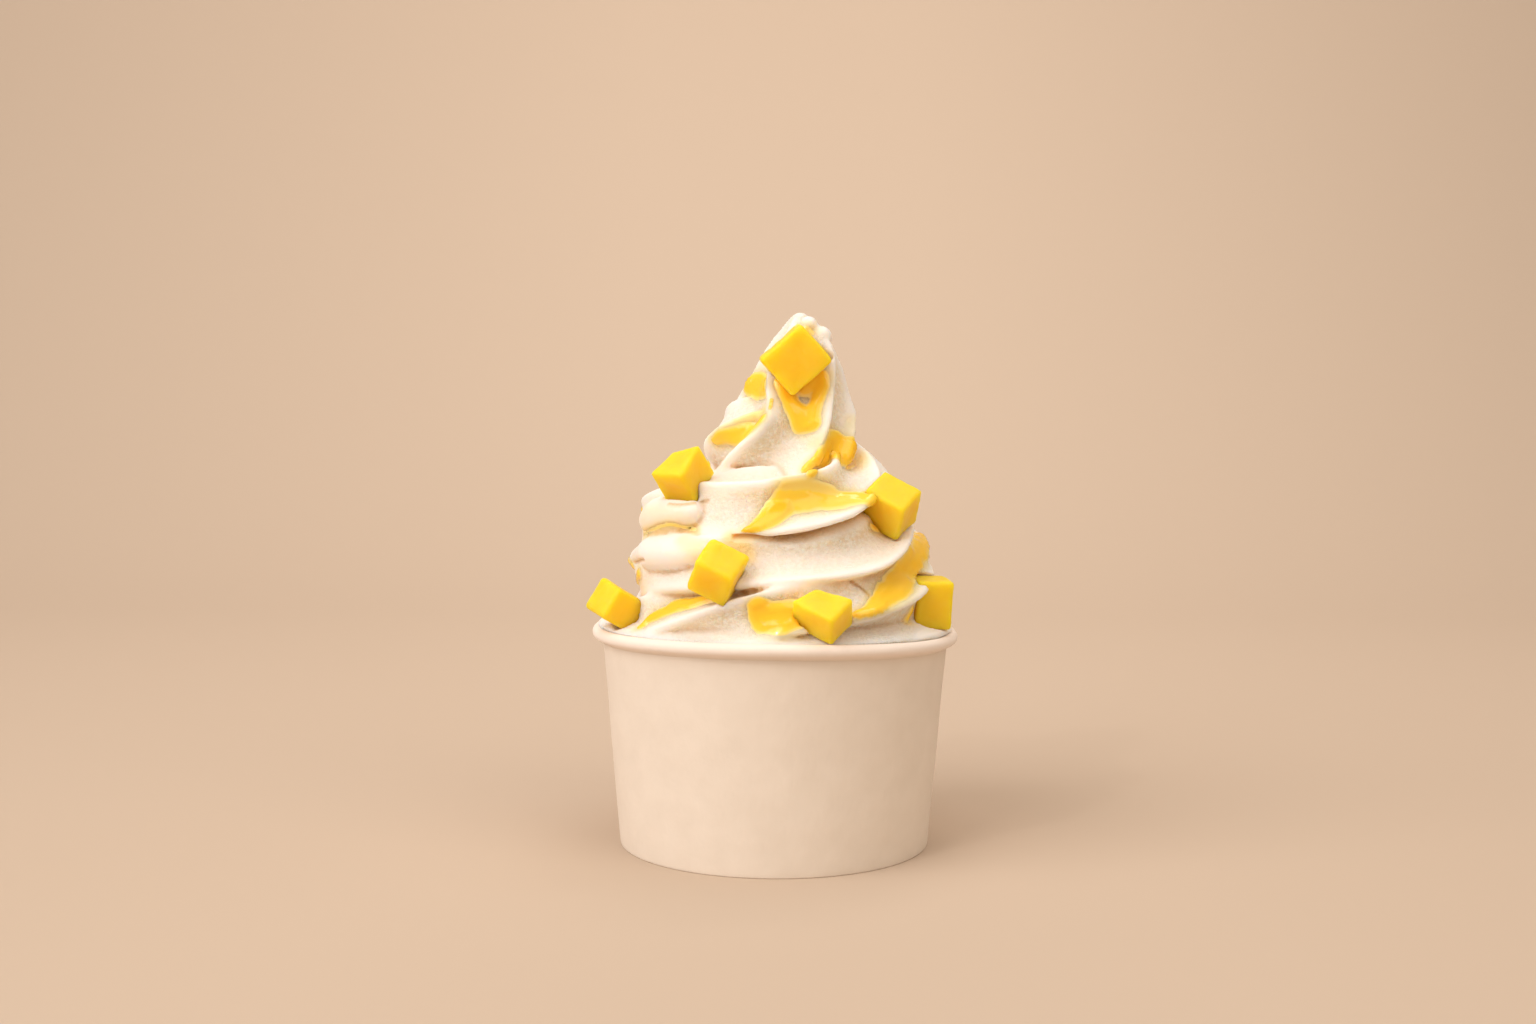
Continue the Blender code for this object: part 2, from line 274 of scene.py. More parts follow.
def lumps(points: np.ndarray, size: float, seed: int) -> np.ndarray:
    """Smooth random lumps in space.

    Args:
        points: Places to read, in metres.
        size: Distance between lumps, in metres.
        seed: Chooses the pattern.

    Returns:
        A value from -1 to 1 for each point.
    """
    side = 32
    table = np.random.default_rng(seed).uniform(-1, 1, (side, side, side))
    place = points / size
    low = np.floor(place).astype(int)
    share = place - low
    share = share * share * (3 - 2 * share)
    total = np.zeros(len(points))
    for corner in product((0, 1), repeat=3):
        weight = np.prod(np.where(corner, share, 1 - share), axis=1)
        index = (low + corner) % side
        total += weight * table[index[:, 0], index[:, 1], index[:, 2]]
    return total


def ramp(values: np.ndarray, low: float, high: float) -> np.ndarray:
    """A smooth step from 0 at low to 1 at high."""
    share = np.clip((values - low) / (high - low), 0, 1)
    return share * share * (3 - 2 * share)


def between(low: float, high: float, share: np.ndarray) -> np.ndarray:
    """The values that lie a share of the way from low to high."""
    return low + (high - low) * share


def arc(across: float, up: float, radius: float, degrees: Span, count: int) -> list[tuple[float, float]]:
    """Points along an arc in a section.

    Args:
        across: The centre's first coordinate.
        up: The centre's second coordinate.
        radius: The arc's radius.
        degrees: The angles at its ends, from the first coordinate's direction.
        count: Number of points.

    Returns:
        The points, both ends included.
    """
    angles = np.radians(np.linspace(*degrees, count))
    return [(across + radius * math.cos(angle), up + radius * math.sin(angle)) for angle in angles]


def ring_faces(rows: int, columns: int, first: int = 0, capped: bool = True) -> list[tuple[int, ...]]:
    """Faces of a stack of closed rings.

    Args:
        rows: Number of rings.
        columns: Points in each ring.
        first: Number of the stack's first vertex.
        capped: Whether the first and the last ring are filled.

    Returns:
        The faces, pointing out where the rings run anticlockwise seen from the stack's end.
    """
    faces = []
    for i, j in product(range(rows - 1), range(columns)):
        a = first + i * columns + j
        b = first + i * columns + (j + 1) % columns
        faces.append((a, b, b + columns, a + columns))
    if capped:
        last = first + (rows - 1) * columns
        faces.append(tuple(reversed(range(first, first + columns))))
        faces.append(tuple(range(last, last + columns)))
    return faces


def smooth_rows(table: Rows, step: float) -> np.ndarray:
    """Reads a table at even steps of its first column, on smooth curves through its rows.

    Args:
        table: Rows of numbers, the first column rising.
        step: Distance between the rows of the result, in the first column's unit.

    Returns:
        The rows, first column included.
    """
    rows = np.array(table, dtype=float)
    key, values = rows[:, 0], rows[:, 1:]
    gaps = np.diff(key)[:, None]
    slopes = np.diff(values, axis=0) / gaps
    tangents = np.empty_like(values)
    tangents[0], tangents[-1] = slopes[0], slopes[-1]
    tangents[1:-1] = (slopes[:-1] * gaps[1:] + slopes[1:] * gaps[:-1]) / (gaps[:-1] + gaps[1:])
    at = np.arange(key[0], key[-1] + step / 2, step)
    at[-1] = min(at[-1], key[-1])
    i = np.clip(np.searchsorted(key, at, side="right") - 1, 0, len(key) - 2)
    width = gaps[i]
    t = (at - key[i])[:, None] / width
    smooth = (
        (2 * t**3 - 3 * t**2 + 1) * values[i]
        + (t**3 - 2 * t**2 + t) * width * tangents[i]
        + (3 * t**2 - 2 * t**3) * values[i + 1]
        + (t**3 - t**2) * width * tangents[i + 1]
    )
    return np.column_stack([at, smooth])


def new_film(
    name: str, faces: list[tuple[int, ...]], outer: np.ndarray, inner: np.ndarray
) -> tuple[bpy.types.Object, np.ndarray]:
    """Makes a closed film over some faces of a skin.

    Args:
        name: The object's name.
        faces: The skin's faces that the film covers.
        outer: Where each vertex of the skin lies on the film's outside.
        inner: Where each vertex of the skin lies on the film's inside.

    Returns:
        The object, and the numbers of the skin's vertices on each of its two sides, outside first.
    """
    used = np.unique(np.concatenate([np.array(face) for face in faces]))
    count = len(used)
    index = np.full(len(outer), -1)
    index[used] = np.arange(count)
    top = [tuple(index[vertex] for vertex in face) for face in faces]
    bottom = [tuple(vertex + count for vertex in reversed(face)) for face in top]
    open_edges: dict[tuple[int, int], tuple[int, int]] = {}
    for face in top:
        for a, b in zip(face, face[1:] + face[:1]):
            pair = (min(a, b), max(a, b))
            if pair in open_edges:
                open_edges.pop(pair)
            else:
                open_edges[pair] = (a, b)
    sides = [(b, a, a + count, b + count) for a, b in open_edges.values()]
    return new_mesh_object(name, np.concatenate([outer[used], inner[used]]), top + bottom + sides), used


def point_tree(points: np.ndarray) -> KDTree:
    """Sorts points so that those near a place are quickly found.

    Args:
        points: The points as rows.

    Returns:
        The tree, which knows each point by its row's number.
    """
    tree = KDTree(len(points))
    for number, point in enumerate(points):
        tree.insert(point, number)
    tree.balance()
    return tree


def skin_of(thing: bpy.types.Object, points: np.ndarray) -> BVHTree:
    """An object's faces with their corners at the given points, ready for rays."""
    return BVHTree.FromPolygons(points.tolist(), faces_of(thing))


def lay_stroke(skin: BVHTree, rows: Rows) -> list[tuple[Vector, Vector, float]]:
    """Lays a stroke on a skin, looking inwards at it from all round.

    Args:
        skin: The skin.
        rows: Azimuth, height and half width along the stroke, in degrees and millimetres.

    Returns:
        Close samples of the stroke, each with its point, the skin's normal there and its half width.
    """
    numbered = tuple((number, *row) for number, row in enumerate(rows))
    samples = []
    for _, azimuth, height, half_width in smooth_rows(numbered, STROKE_STEP):
        outward = Matrix.Rotation(math.radians(azimuth), 3, "Z") @ Vector((1, 0, 0))
        start = Vector((0, 0, height * MM)) + outward * STROKE_START
        point, normal, _, _ = skin.ray_cast(start, -outward)
        if point is not None:
            samples.append((point, normal, half_width * MM))
    return samples


def around_sample(tree: KDTree, point: Vector, reach: float) -> tuple[np.ndarray, np.ndarray]:
    """The numbers of the tree's points within reach of a place, and their distances."""
    found = tree.find_range(point, reach)
    return np.array([number for _, number, _ in found], int), np.array([distance for _, _, distance in found])


def finish_piece(piece: bpy.types.Object, slot: Slot, finish: bpy.types.Material, *nodes: str) -> None:
    """Dresses a piece, lets it ride, and hides the CAD nodes that it stands for.

    Args:
        piece: The finished mesh object.
        slot: The record's slot that it takes its finish from; not used.
        finish: Its material.
        nodes: CAD nodes that it replaces.
    """
    piece.data.materials.clear()
    piece.data.materials.append(finish)
    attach(piece, BODY)
    if nodes:
        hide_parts(*nodes)
    LOG.info("%s: %d faces", piece.name, len(piece.data.polygons))


# ---------------------------------------------------------------------------------------------------------
# Finishes
# ---------------------------------------------------------------------------------------------------------


class NodeSheet:
    """A material's node tree, with short ways to add to it."""

    def __init__(self, name: str) -> None:
        """Starts a material with a Principled shader.

        Args:
            name: The material's name.
        """
        self.material = bpy.data.materials.new(name)
        self.material.use_nodes = True
        self.tree = self.material.node_tree
        self.shader = self.tree.nodes["Principled BSDF"]
        self.place = self.add("ShaderNodeTexCoord").outputs["Object"]

    def add(self, kind: str, **settings: object) -> bpy.types.Node:
        """Adds a node.

        Args:
            kind: The node's type.
            settings: Values for the node's own properties.

        Returns:
            The node.
        """
        node = self.tree.nodes.new(kind)
        for name, value in settings.items():
            setattr(node, name, value)
        return node

    def link(self, source: bpy.types.NodeSocket, target: bpy.types.NodeSocket) -> None:
        """Joins two sockets."""
        self.tree.links.new(source, target)

    def set(self, **values: object) -> None:
        """Sets the shader's sockets.

        Args:
            values: The sockets' values, named with underscores for spaces.
        """
        for name, value in values.items():
            socket = self.shader.inputs[name.replace("_", " ")]
            socket.default_value = (*value, 1.0) if socket.type == "RGBA" else value

    def noise(self, scale: float, detail: float = 3.0, stretch: Place = (1, 1, 1)) -> bpy.types.NodeSocket:
        """Noise on the object's own coordinates.

        Args:
            scale: Lumps in each metre.
            detail: Octaves of finer noise.
            stretch: Factors on x, y and z.

        Returns:
            The noise's value socket.
        """
        mapping = self.add("ShaderNodeMapping")
        mapping.inputs["Scale"].default_value = stretch
        self.link(self.place, mapping.inputs["Vector"])
        texture = self.add("ShaderNodeTexNoise")
        texture.inputs["Scale"].default_value = scale
        texture.inputs["Detail"].default_value = detail
        self.link(mapping.outputs["Vector"], texture.inputs["Vector"])
        return texture.outputs["Fac"]

    def attribute(self, name: str) -> bpy.types.NodeSocket:
        """A number stored on the mesh."""
        return self.add("ShaderNodeAttribute", attribute_name=name).outputs["Fac"]

    def ramp(self, source: bpy.types.NodeSocket, *stops: tuple[float, Colour]) -> bpy.types.NodeSocket:
        """Colours along a value.

        Args:
            source: The value.
            stops: Pairs of a place from 0 to 1 and a colour.

        Returns:
            The colour socket.
        """
        node = self.add("ShaderNodeValToRGB")
        elements = node.color_ramp.elements
        while len(elements) < len(stops):
            elements.new(0.5)
        for element, (place, colour) in zip(elements, stops):
            element.position = place
            element.color = (*colour, 1.0)
        self.link(source, node.inputs["Fac"])
        return node.outputs["Color"]

    def mix(
        self, share: bpy.types.NodeSocket, a: bpy.types.NodeSocket | Colour, b: bpy.types.NodeSocket | Colour
    ) -> bpy.types.NodeSocket:
        """Blends two colours.

        Args:
            share: How much of the second colour, a socket or a number.
            a: The first colour.
            b: The second colour.

        Returns:
            The blended colour.
        """
        node = self.add("ShaderNodeMix", data_type="RGBA")
        for socket, value in ((node.inputs[0], share), (node.inputs[6], a), (node.inputs[7], b)):
            if isinstance(value, bpy.types.NodeSocket):
                self.link(value, socket)
            else:
                socket.default_value = (*value, 1.0) if isinstance(value, tuple) else value
        return node.outputs[2]

    def maths(
        self, operation: str, a: bpy.types.NodeSocket | float, b: bpy.types.NodeSocket | float
    ) -> bpy.types.NodeSocket:
        """Joins two values.

        Args:
            operation: What is done with them, such as MULTIPLY.
            a: The first value, a socket or a number.
            b: The second value, a socket or a number.

        Returns:
            The result's socket.
        """
        node = self.add("ShaderNodeMath", operation=operation)
        for socket, value in zip(node.inputs, (a, b)):
            if isinstance(value, bpy.types.NodeSocket):
                self.link(value, socket)
            else:
                socket.default_value = value
        return node.outputs[0]

    def bump(self, *layers: tuple[bpy.types.NodeSocket, float]) -> None:
        """Raises the surface.

        Args:
            layers: Pairs of a height's socket and its depth in metres.
        """
        normal = None
        for height, depth in layers:
            node = self.add("ShaderNodeBump")
            node.inputs["Distance"].default_value = depth
            self.link(height, node.inputs["Height"])
            if normal is not None:
                self.link(normal, node.inputs["Normal"])
            normal = node.outputs["Normal"]
        self.link(normal, self.shader.inputs["Normal"])


@dataclass(frozen=True)
class PaperFinish:
    """Uncoated cream board with a soft mottle and short fibres, paler and pinker on the rolled rim: partly the
    board's own tone there, partly painted light that lifts the shade under the roll.
    """

    name: str = "cream_paper"
    light: Colour = (0.82, 0.725, 0.63)
    dark: Colour = (0.785, 0.69, 0.595)
    # Paler rim tone: partly the board's own, partly painted light over the roll's shaded underside.
    rim: Colour = (0.90, 0.79, 0.71)
    mottle_scale: float = 130.0
    mottle_span: Span = (0.3, 0.7)
    mottle_depth: float = 0.25 * MM
    fibre_scale: float = 900.0
    fibre_stretch: Place = (1, 1, 0.35)
    fibre_depth: float = 0.05 * MM

    def material(self) -> bpy.types.Material:
        """Makes the paper's material.

        Returns:
            The material.
        """
        sheet = NodeSheet(self.name)
        sheet.set(Roughness=0.72, Specular_IOR_Level=0.3)
        mottle = sheet.noise(self.mottle_scale, 4.0)
        fibres = sheet.noise(self.fibre_scale, 3.0, self.fibre_stretch)
        board = sheet.ramp(mottle, (self.mottle_span[0], self.dark), (self.mottle_span[1], self.light))
        # The rolled rim is painted paler: partly its own pinker tone, partly painted light over the shade under
        # the roll.
        board = sheet.mix(sheet.attribute("rim"), board, self.rim)
        sheet.link(board, sheet.shader.inputs["Base Color"])
        sheet.bump((mottle, self.mottle_depth), (fibres, self.fibre_depth))
        return sheet.material


@dataclass(frozen=True)
class YogurtFinish:
    """Matt cream with icy grain, tinted where sauce has soaked in, with painted shade: tan in the flutes, most
    on faces turned from the key light, and brown in creases and folds.
    """

    name: str = "frozen_yogurt"
    cream: Colour = (0.90, 0.83, 0.77)
    frost: Colour = (0.97, 0.92, 0.84)
    # Painted shade: the tan laid in the flutes, strongest on faces turned from the key light.
    hollow: Colour = (0.87, 0.735, 0.55)
    # Painted shadow: the brown laid in creases and in the folds under overhanging coils.
    crease_shade: Colour = (0.70, 0.48, 0.24)
    tint: Colour = (0.98, 0.70, 0.24)
    glow_depth: float = 5.5 * MM
    fleck_scale: float = 900.0
    fleck_span: Span = (0.42, 0.6)
    fleck_share: float = 0.9
    ice_scale: float = 1100.0
    ice_depth: float = 1.6 * MM
    frost_scale: float = 2600.0
    frost_depth: float = 0.4 * MM

    def material(self) -> bpy.types.Material:
        """Makes the yogurt's material, which reads grain, the painted shade of flutes and creases, and stain
        from the mesh.

        Returns:
            The material.
        """
        sheet = NodeSheet(self.name)
        sheet.set(
            Roughness=0.55,
            Specular_IOR_Level=0.25,
            Subsurface_Weight=0.8,
            Subsurface_Radius=(1.0, 0.8, 0.6),
            Subsurface_Scale=self.glow_depth,
        )
        grain = sheet.attribute("grain")
        fine = sheet.noise(self.fleck_scale, 2.0)
        flecks = sheet.ramp(fine, (self.fleck_span[0], BLACK), (self.fleck_span[1], WHITE))
        flecks = sheet.maths("MULTIPLY", sheet.maths("MULTIPLY", flecks, grain), self.fleck_share)
        # Painted shade: tan in the flutes, more on faces turned from the key light.
        body = sheet.mix(sheet.attribute("hollow"), self.cream, self.hollow)
        body = sheet.mix(flecks, body, self.frost)
        # Painted shadow: brown in creases and folds.
        body = sheet.mix(sheet.attribute("crease_shade"), body, self.crease_shade)
        body = sheet.mix(sheet.attribute("stain"), body, self.tint)
        sheet.link(body, sheet.shader.inputs["Base Color"])
        ice = sheet.maths("MULTIPLY", sheet.noise(self.ice_scale, 2.0), grain)
        frost = sheet.maths("MULTIPLY", sheet.noise(self.frost_scale, 2.0), grain)
        sheet.bump((ice, self.ice_depth), (frost, self.frost_depth))
        return sheet.material


@dataclass(frozen=True)
class MangoFinish:
    """Ripe mango flesh: juicy and softly clouded, with pale fibres."""

    name: str = "mango_flesh"
    ripe: Colour = (0.98, 0.54, 0.012)
    bright: Colour = (1.0, 0.6, 0.025)
    pale: Colour = (1.0, 0.7, 0.16)
    glow_depth: float = 9.0 * MM
    cloud_scale: float = 170.0
    cloud_span: Span = (0.3, 0.68)
    cloud_depth: float = 0.25 * MM
    fibre_scale: float = 420.0
    fibre_stretch: Place = (1, 0.25, 1)
    fibre_share: float = 0.2
    fibre_depth: float = 0.16 * MM

    def material(self) -> bpy.types.Material:
        """Makes the mango's material.

        Returns:
            The material.
        """
        sheet = NodeSheet(self.name)
        sheet.set(
            Roughness=0.4,
            Specular_IOR_Level=0.14,
            Subsurface_Weight=1.0,
            Subsurface_Radius=(1.0, 0.8, 0.08),
            Subsurface_Scale=self.glow_depth,
        )
        cloud = sheet.noise(self.cloud_scale)
        fibres = sheet.noise(self.fibre_scale, stretch=self.fibre_stretch)
        flesh = sheet.ramp(cloud, (self.cloud_span[0], self.ripe), (self.cloud_span[1], self.bright))
        flesh = sheet.mix(sheet.maths("MULTIPLY", fibres, self.fibre_share), flesh, self.pale)
        sheet.link(flesh, sheet.shader.inputs["Base Color"])
        sheet.bump((cloud, self.cloud_depth), (fibres, self.fibre_depth))
        return sheet.material


@dataclass(frozen=True)
class SauceFinish:
    """Glossy mango sauce, pale where it is thin and deep yellow where it pools."""

    name: str = "mango_sauce"
    thin: Colour = (1.0, 0.82, 0.42)
    middle: Colour = (1.0, 0.64, 0.05)
    deep: Colour = (0.98, 0.54, 0.015)
    middle_depth: float = 0.35
    glow_depth: float = 1.5 * MM
    ripple_scale: float = 260.0
    ripple_depth: float = 0.12 * MM

    def material(self) -> bpy.types.Material:
        """Makes the sauce's material, which reads the sauce's depth from the mesh.

        Returns:
            The material.
        """
        sheet = NodeSheet(self.name)
        sheet.set(
            Roughness=0.12,
            Specular_IOR_Level=0.35,
            Subsurface_Weight=0.25,
            Subsurface_Radius=(1.0, 0.6, 0.15),
            Subsurface_Scale=self.glow_depth,
            Coat_Weight=0.25,
            Coat_Roughness=0.05,
        )
        depth = sheet.attribute("depth")
        colour = sheet.ramp(depth, (0.0, self.thin), (self.middle_depth, self.middle), (1.0, self.deep))
        sheet.link(colour, sheet.shader.inputs["Base Color"])
        sheet.bump((sheet.noise(self.ripple_scale, 1.0), self.ripple_depth))
        return sheet.material


@dataclass(frozen=True)
class StudioFinish:
    """Plain matt beige for the floor and the backdrop, with painted shade that makes it a little deeper towards
    its sides.
    """

    name: str = "studio_beige"
    middle: Colour = (0.565, 0.447, 0.35)
    sides: Colour = (0.46, 0.36, 0.28)
    middle_reach: float = 0.1
    side_reach: float = 0.8

    def material(self) -> bpy.types.Material:
        """Makes the studio's material.

        Returns:
            The material.
        """
        sheet = NodeSheet(self.name)
        sheet.set(Roughness=0.9, Specular_IOR_Level=0.1)
        axes = sheet.add("ShaderNodeSeparateXYZ")
        sheet.link(sheet.place, axes.inputs["Vector"])
        away = sheet.maths("ABSOLUTE", axes.outputs["X"], 0.0)
        # Painted shade: the beige darkens away from the middle, where less light falls.
        painted_falloff = sheet.ramp(away, (self.middle_reach, self.middle), (self.side_reach, self.sides))
        sheet.link(painted_falloff, sheet.shader.inputs["Base Color"])
        return sheet.material


# ---------------------------------------------------------------------------------------------------------
# Paper cup
# ---------------------------------------------------------------------------------------------------------


@dataclass
class PaperCup:
    """A single-wall paper cup: side wall with rolled rim and turned-in foot, lap seam and base disc."""

    foot_radius: float = 41.1 * MM
    neck_radius: float = 45.6 * MM
    neck_height: float = 56.1 * MM
    paper: float = 0.6 * MM
    foot_depth: float = 5.2 * MM
    foot_thickness: float = 1.5 * MM
    foot_rounding: float = 0.35 * MM
    roll_radius: float = 1.65 * MM
    roll_centre_radius: float = 46.75 * MM
    roll_centre_height: float = 58.05 * MM
    roll_lead: float = 0.6 * MM
    rim_dip: float = 2.0 * MM
    rim_tilt: float = 0.5 * MM
    rim_span: Span = (0.3 * MM, 1.0 * MM)
    sides: int = 192
    weld: float = 0.01 * MM
    wall_lead: float = 2.0 * MM
    outer_rows: int = 24
    inner_rows: int = 12
    wave_depth: float = 0.12 * MM
    wave_size: float = 14.0 * MM
    wave_start: Span = (2.0 * MM, 12.0 * MM)
    curl_depth: float = 0.10 * MM
    curl_size: float = 7.0 * MM
    curl_start: Span = (55.0 * MM, 57.0 * MM)
    seam_width: float = 7.0 * MM
    seam_thickness: float = 0.35 * MM
    seam_board: float = 0.5 * MM
    seam_lift: float = 0.1 * MM
    seam_margin: float = 0.6 * MM
    seam_bevel: float = 0.08
    base_sides: int = 96
    base_border: float = 2.0 * MM
    base_step_width: float = 0.8 * MM
    base_step_depth: float = 0.35 * MM
    base_inset: float = 12.0 * MM
    gap: float = 0.3 * MM
    yogurt_gap: float = 0.08 * MM
    no_limit: float = 1.0

    def wall_radius(self, height: float | np.ndarray) -> float | np.ndarray:
        """Outer radius of the straight wall at one or more heights."""
        return self.foot_radius + (self.neck_radius - self.foot_radius) * height / self.neck_height

    def rim_drop(self, azimuth: np.ndarray) -> np.ndarray:
        """How far the rim hangs below its front: both sides dip a little, the right side most."""
        return self.rim_dip * np.cos(azimuth) ** 2 + self.rim_tilt * np.cos(azimuth)

    def drop_at(self, points: np.ndarray) -> np.ndarray:
        """How far the rim's dip lowers points at their height.

        Args:
            points: The points as rows.

        Returns:
            The drop of each point, all of the rim's at the rim and none at the table.
        """
        azimuth = np.arctan2(points[:, 1], points[:, 0])
        share = np.clip(points[:, 2] / self.roll_centre_height, 0, 1) ** 2
        return share * self.rim_drop(azimuth)

    def sag(self, points: np.ndarray) -> np.ndarray:
        """Lowers points by the rim's dip at their height.

        Args:
            points: The points as rows.

        Returns:
            The lowered points.
        """
        lowered = points.copy()
        lowered[:, 2] -= self.drop_at(points)
        return lowered

    def wall_outline(self) -> list[tuple[float, float]]:
        """The wall's closed section, from the foot up the outside and down the inside.

        Returns:
            Its points as radius and height.
        """
        rounding = self.foot_rounding
        outline = arc(self.foot_radius - rounding, rounding, rounding, (-90, 0), 4)
        for height in np.linspace(self.wall_lead, self.neck_height - self.roll_lead, self.outer_rows):
            outline.append((self.wall_radius(height), height))
        outline += arc(self.roll_centre_radius, self.roll_centre_height, self.roll_radius, (-60, 180), 25)
        for height in np.linspace(self.neck_height - self.wall_lead, self.foot_depth, self.inner_rows):
            outline.append((self.wall_radius(height) - self.paper, height))
        outline.append((self.wall_radius(self.foot_depth) - self.foot_thickness, self.foot_depth))
        outline.append((self.foot_radius - self.foot_thickness, self.foot_rounding))
        outline.append((self.foot_radius - self.foot_thickness + self.foot_rounding, 0.0))
        return outline

    def build_wall(self, finish: bpy.types.Material) -> None:
        """Spins the wall's section round the cup's axis and gives the board its slight waves.

        Args:
            finish: The paper's material.
        """
        outline = self.wall_outline()
        deselect_everything()
        bpy.ops.mesh.primitive_circle_add(vertices=len(outline), radius=self.foot_radius)
        wall = bpy.context.object
        wall.name = wall.data.name = "paper_cup_wall_board"
        move_points(wall, np.array([(radius, 0.0, height) for radius, height in outline]))
        edit_all(wall)
        bpy.ops.mesh.spin(steps=self.sides, angle=math.tau, center=(0, 0, 0), axis=(0, 0, 1))
        bpy.ops.mesh.select_all(action="SELECT")
        bpy.ops.mesh.remove_doubles(threshold=self.weld)
        bpy.ops.mesh.normals_make_consistent(inside=False)
        bpy.ops.object.mode_set(mode="OBJECT")
        points = points_of(wall)
        beyond = np.hypot(points[:, 0], points[:, 1]) - self.wall_radius(points[:, 2])
        # Marks the rolled rim, which the paper's finish paints paler, partly as painted light over the roll's
        # shade.
        store(wall, "rim", ramp(beyond, *self.rim_span))
        points = self.sag(points)
        outward = unit_rows(points * (1, 1, 0))
        wave = self.wave_depth * lumps(points, self.wave_size, Pattern.BOARD_WAVE)
        curl = self.curl_depth * lumps(points, self.curl_size, Pattern.RIM_CURL)
        swell = wave * ramp(points[:, 2], *self.wave_start) + curl * ramp(points[:, 2], *self.curl_start)
        move_points(wall, points + outward * swell[:, None])
        take(wall)
        bpy.ops.object.shade_smooth_by_angle(angle=SHARP_ANGLE)
        finish_piece(wall, Slot.PAPER, finish, "paper_cup_wall")

    def build_seam(self, finish: bpy.types.Material) -> None:
        """Lays the lap seam up the back of the cup as a strip bent round the wall.

        Args:
            finish: The paper's material.
        """
        deselect_everything()
        bpy.ops.mesh.primitive_grid_add(x_subdivisions=10, y_subdivisions=40, size=1.0)
        seam = bpy.context.object
        seam.name = seam.data.name = "paper_cup_side_seam"
        across, up, _ = points_of(seam).T
        height = self.seam_margin + (up + 0.5) * (self.neck_height - 2 * self.seam_margin)
        radius = self.wall_radius(height)
        azimuth = math.pi / 2 - across * self.seam_width / radius
        lap = self.seam_thickness * ramp(np.abs(across), 0.5, 0.5 - self.seam_bevel)
        radius = radius + self.seam_lift + lap
        bent = np.column_stack([radius * np.cos(azimuth), radius * np.sin(azimuth), height])
        move_points(seam, self.sag(bent))
        apply_modifier(seam, "SOLIDIFY", thickness=self.seam_board, offset=-1.0)
        face_outwards(seam)
        finish_piece(seam, Slot.PAPER, finish)

    def build_base(self, finish: bpy.types.Material) -> None:
        """Makes the raised base disc, with a shallow pressed step.

        Args:
            finish: The paper's material.
        """
        low = self.foot_depth + self.gap
        radius = self.wall_radius(low) - self.paper - self.gap
        deselect_everything()
        bpy.ops.mesh.primitive_circle_add(
            vertices=self.base_sides, radius=radius, fill_type="NGON", location=(0, 0, low)
        )
        base = bpy.context.object
        base.name = base.data.name = "paper_cup_base_disc"
        bpy.ops.object.transform_apply(location=True)
        edit_all(base)
        bpy.ops.mesh.inset(thickness=self.base_border)
        bpy.ops.mesh.inset(thickness=self.base_step_width, depth=-self.base_step_depth)
        for _ in range(2):
            bpy.ops.mesh.inset(thickness=self.base_inset)
        bpy.ops.object.mode_set(mode="OBJECT")
        apply_modifier(base, "SOLIDIFY", thickness=self.paper, offset=1.0)
        face_outwards(base)
        finish_piece(base, Slot.PAPER, finish, "paper_cup_base")

    def build(self, finish: bpy.types.Material) -> None:
        """Builds the wall, the seam and the base.

        Args:
            finish: The paper's material.
        """
        self.build_wall(finish)
        self.build_seam(finish)
        self.build_base(finish)

    def inner_limit(self, height: np.ndarray) -> np.ndarray:
        """The largest radius that yogurt may have inside the cup and over its rim.

        Args:
            height: Heights in a cup whose rim doesn't dip.

        Returns:
            The radius at each height, which is no real limit above the rim.
        """
        reach = self.roll_radius + self.yogurt_gap
        inside = self.wall_radius(height) - self.paper - self.yogurt_gap
        rise = np.clip((height - self.roll_centre_height) / reach, 0, 1)
        over = self.roll_centre_radius - reach * np.sqrt(1 - rise**2)
        free = self.roll_centre_height + reach
        near_rim = np.where(height > self.roll_centre_height, over, inside)
        return np.where(height > free, self.no_limit, near_rim)


# ---------------------------------------------------------------------------------------------------------
# Frozen yogurt
# ---------------------------------------------------------------------------------------------------------

# The piped rope's course. Each row: degrees turned, coil radius, height, half width, half height, degrees
# the ribs have turned, the coil centre's shift to +X, and how deep the flutes are.
ROPE_COURSE = (
    (0, 31, 47, 14, 12, -215, 0, 1),
    (90, 31, 51, 14, 12, -160, 0, 1),
    (180, 31, 56, 14, 12, -100, 0, 1),
    (225, 31, 60, 14.3, 12, -58, 0, 1),
    (270, 31, 64.5, 14.5, 12, -18, 0, 1),
    (315, 30.7, 66.3, 14.5, 12.2, 5, 0, 1),
    (360, 29, 68, 14.5, 12.5, 35, 0, 1),
    (450, 28, 71, 14.5, 13, 85, 0, 1),
    (540, 25, 73, 14, 13, 130, 0, 0.55),
    (585, 26.5, 75, 14, 13, 160, 0, 0.6),
    (630, 25, 74.5, 16, 13.5, 178, 0, 1.15),
    (675, 25.5, 76, 15.8, 13.5, 187, 0, 1.15),
    (720, 27, 78, 14, 13.5, 238, 0, 1),
    (810, 25, 81, 14, 13.5, 295, 0, 1),
    (900, 22.5, 85, 15.2, 13, 330, 0, 0.5),
    (945, 22, 88, 13, 12.5, 344, 0, 0.55),
    (990, 20, 88.3, 16, 14, 350, 0, 1.15),
    (1035, 19, 90, 15.6, 14, 372, 0, 1.15),
    (1080, 17, 94, 13.5, 13.5, 432, 0.5, 1),
    (1170, 13, 99.5, 13, 13, 486, 2, 1),
    (1215, 10.5, 103, 12.5, 12.5, 512, 2, 0.8),
    (1260, 8.5, 106.5, 12, 12, 540, 2, 0.75),
    (1305, 5.5, 109, 10.5, 10.5, 565, 2.2, 0.8),
    (1350, 3, 110, 8, 8, 585, 2.5, 1),
    (1395, 2, 111, 6, 6, 600, 3, 1),
    (1420, 2, 111, 3, 3, 610, 3, 1),
)
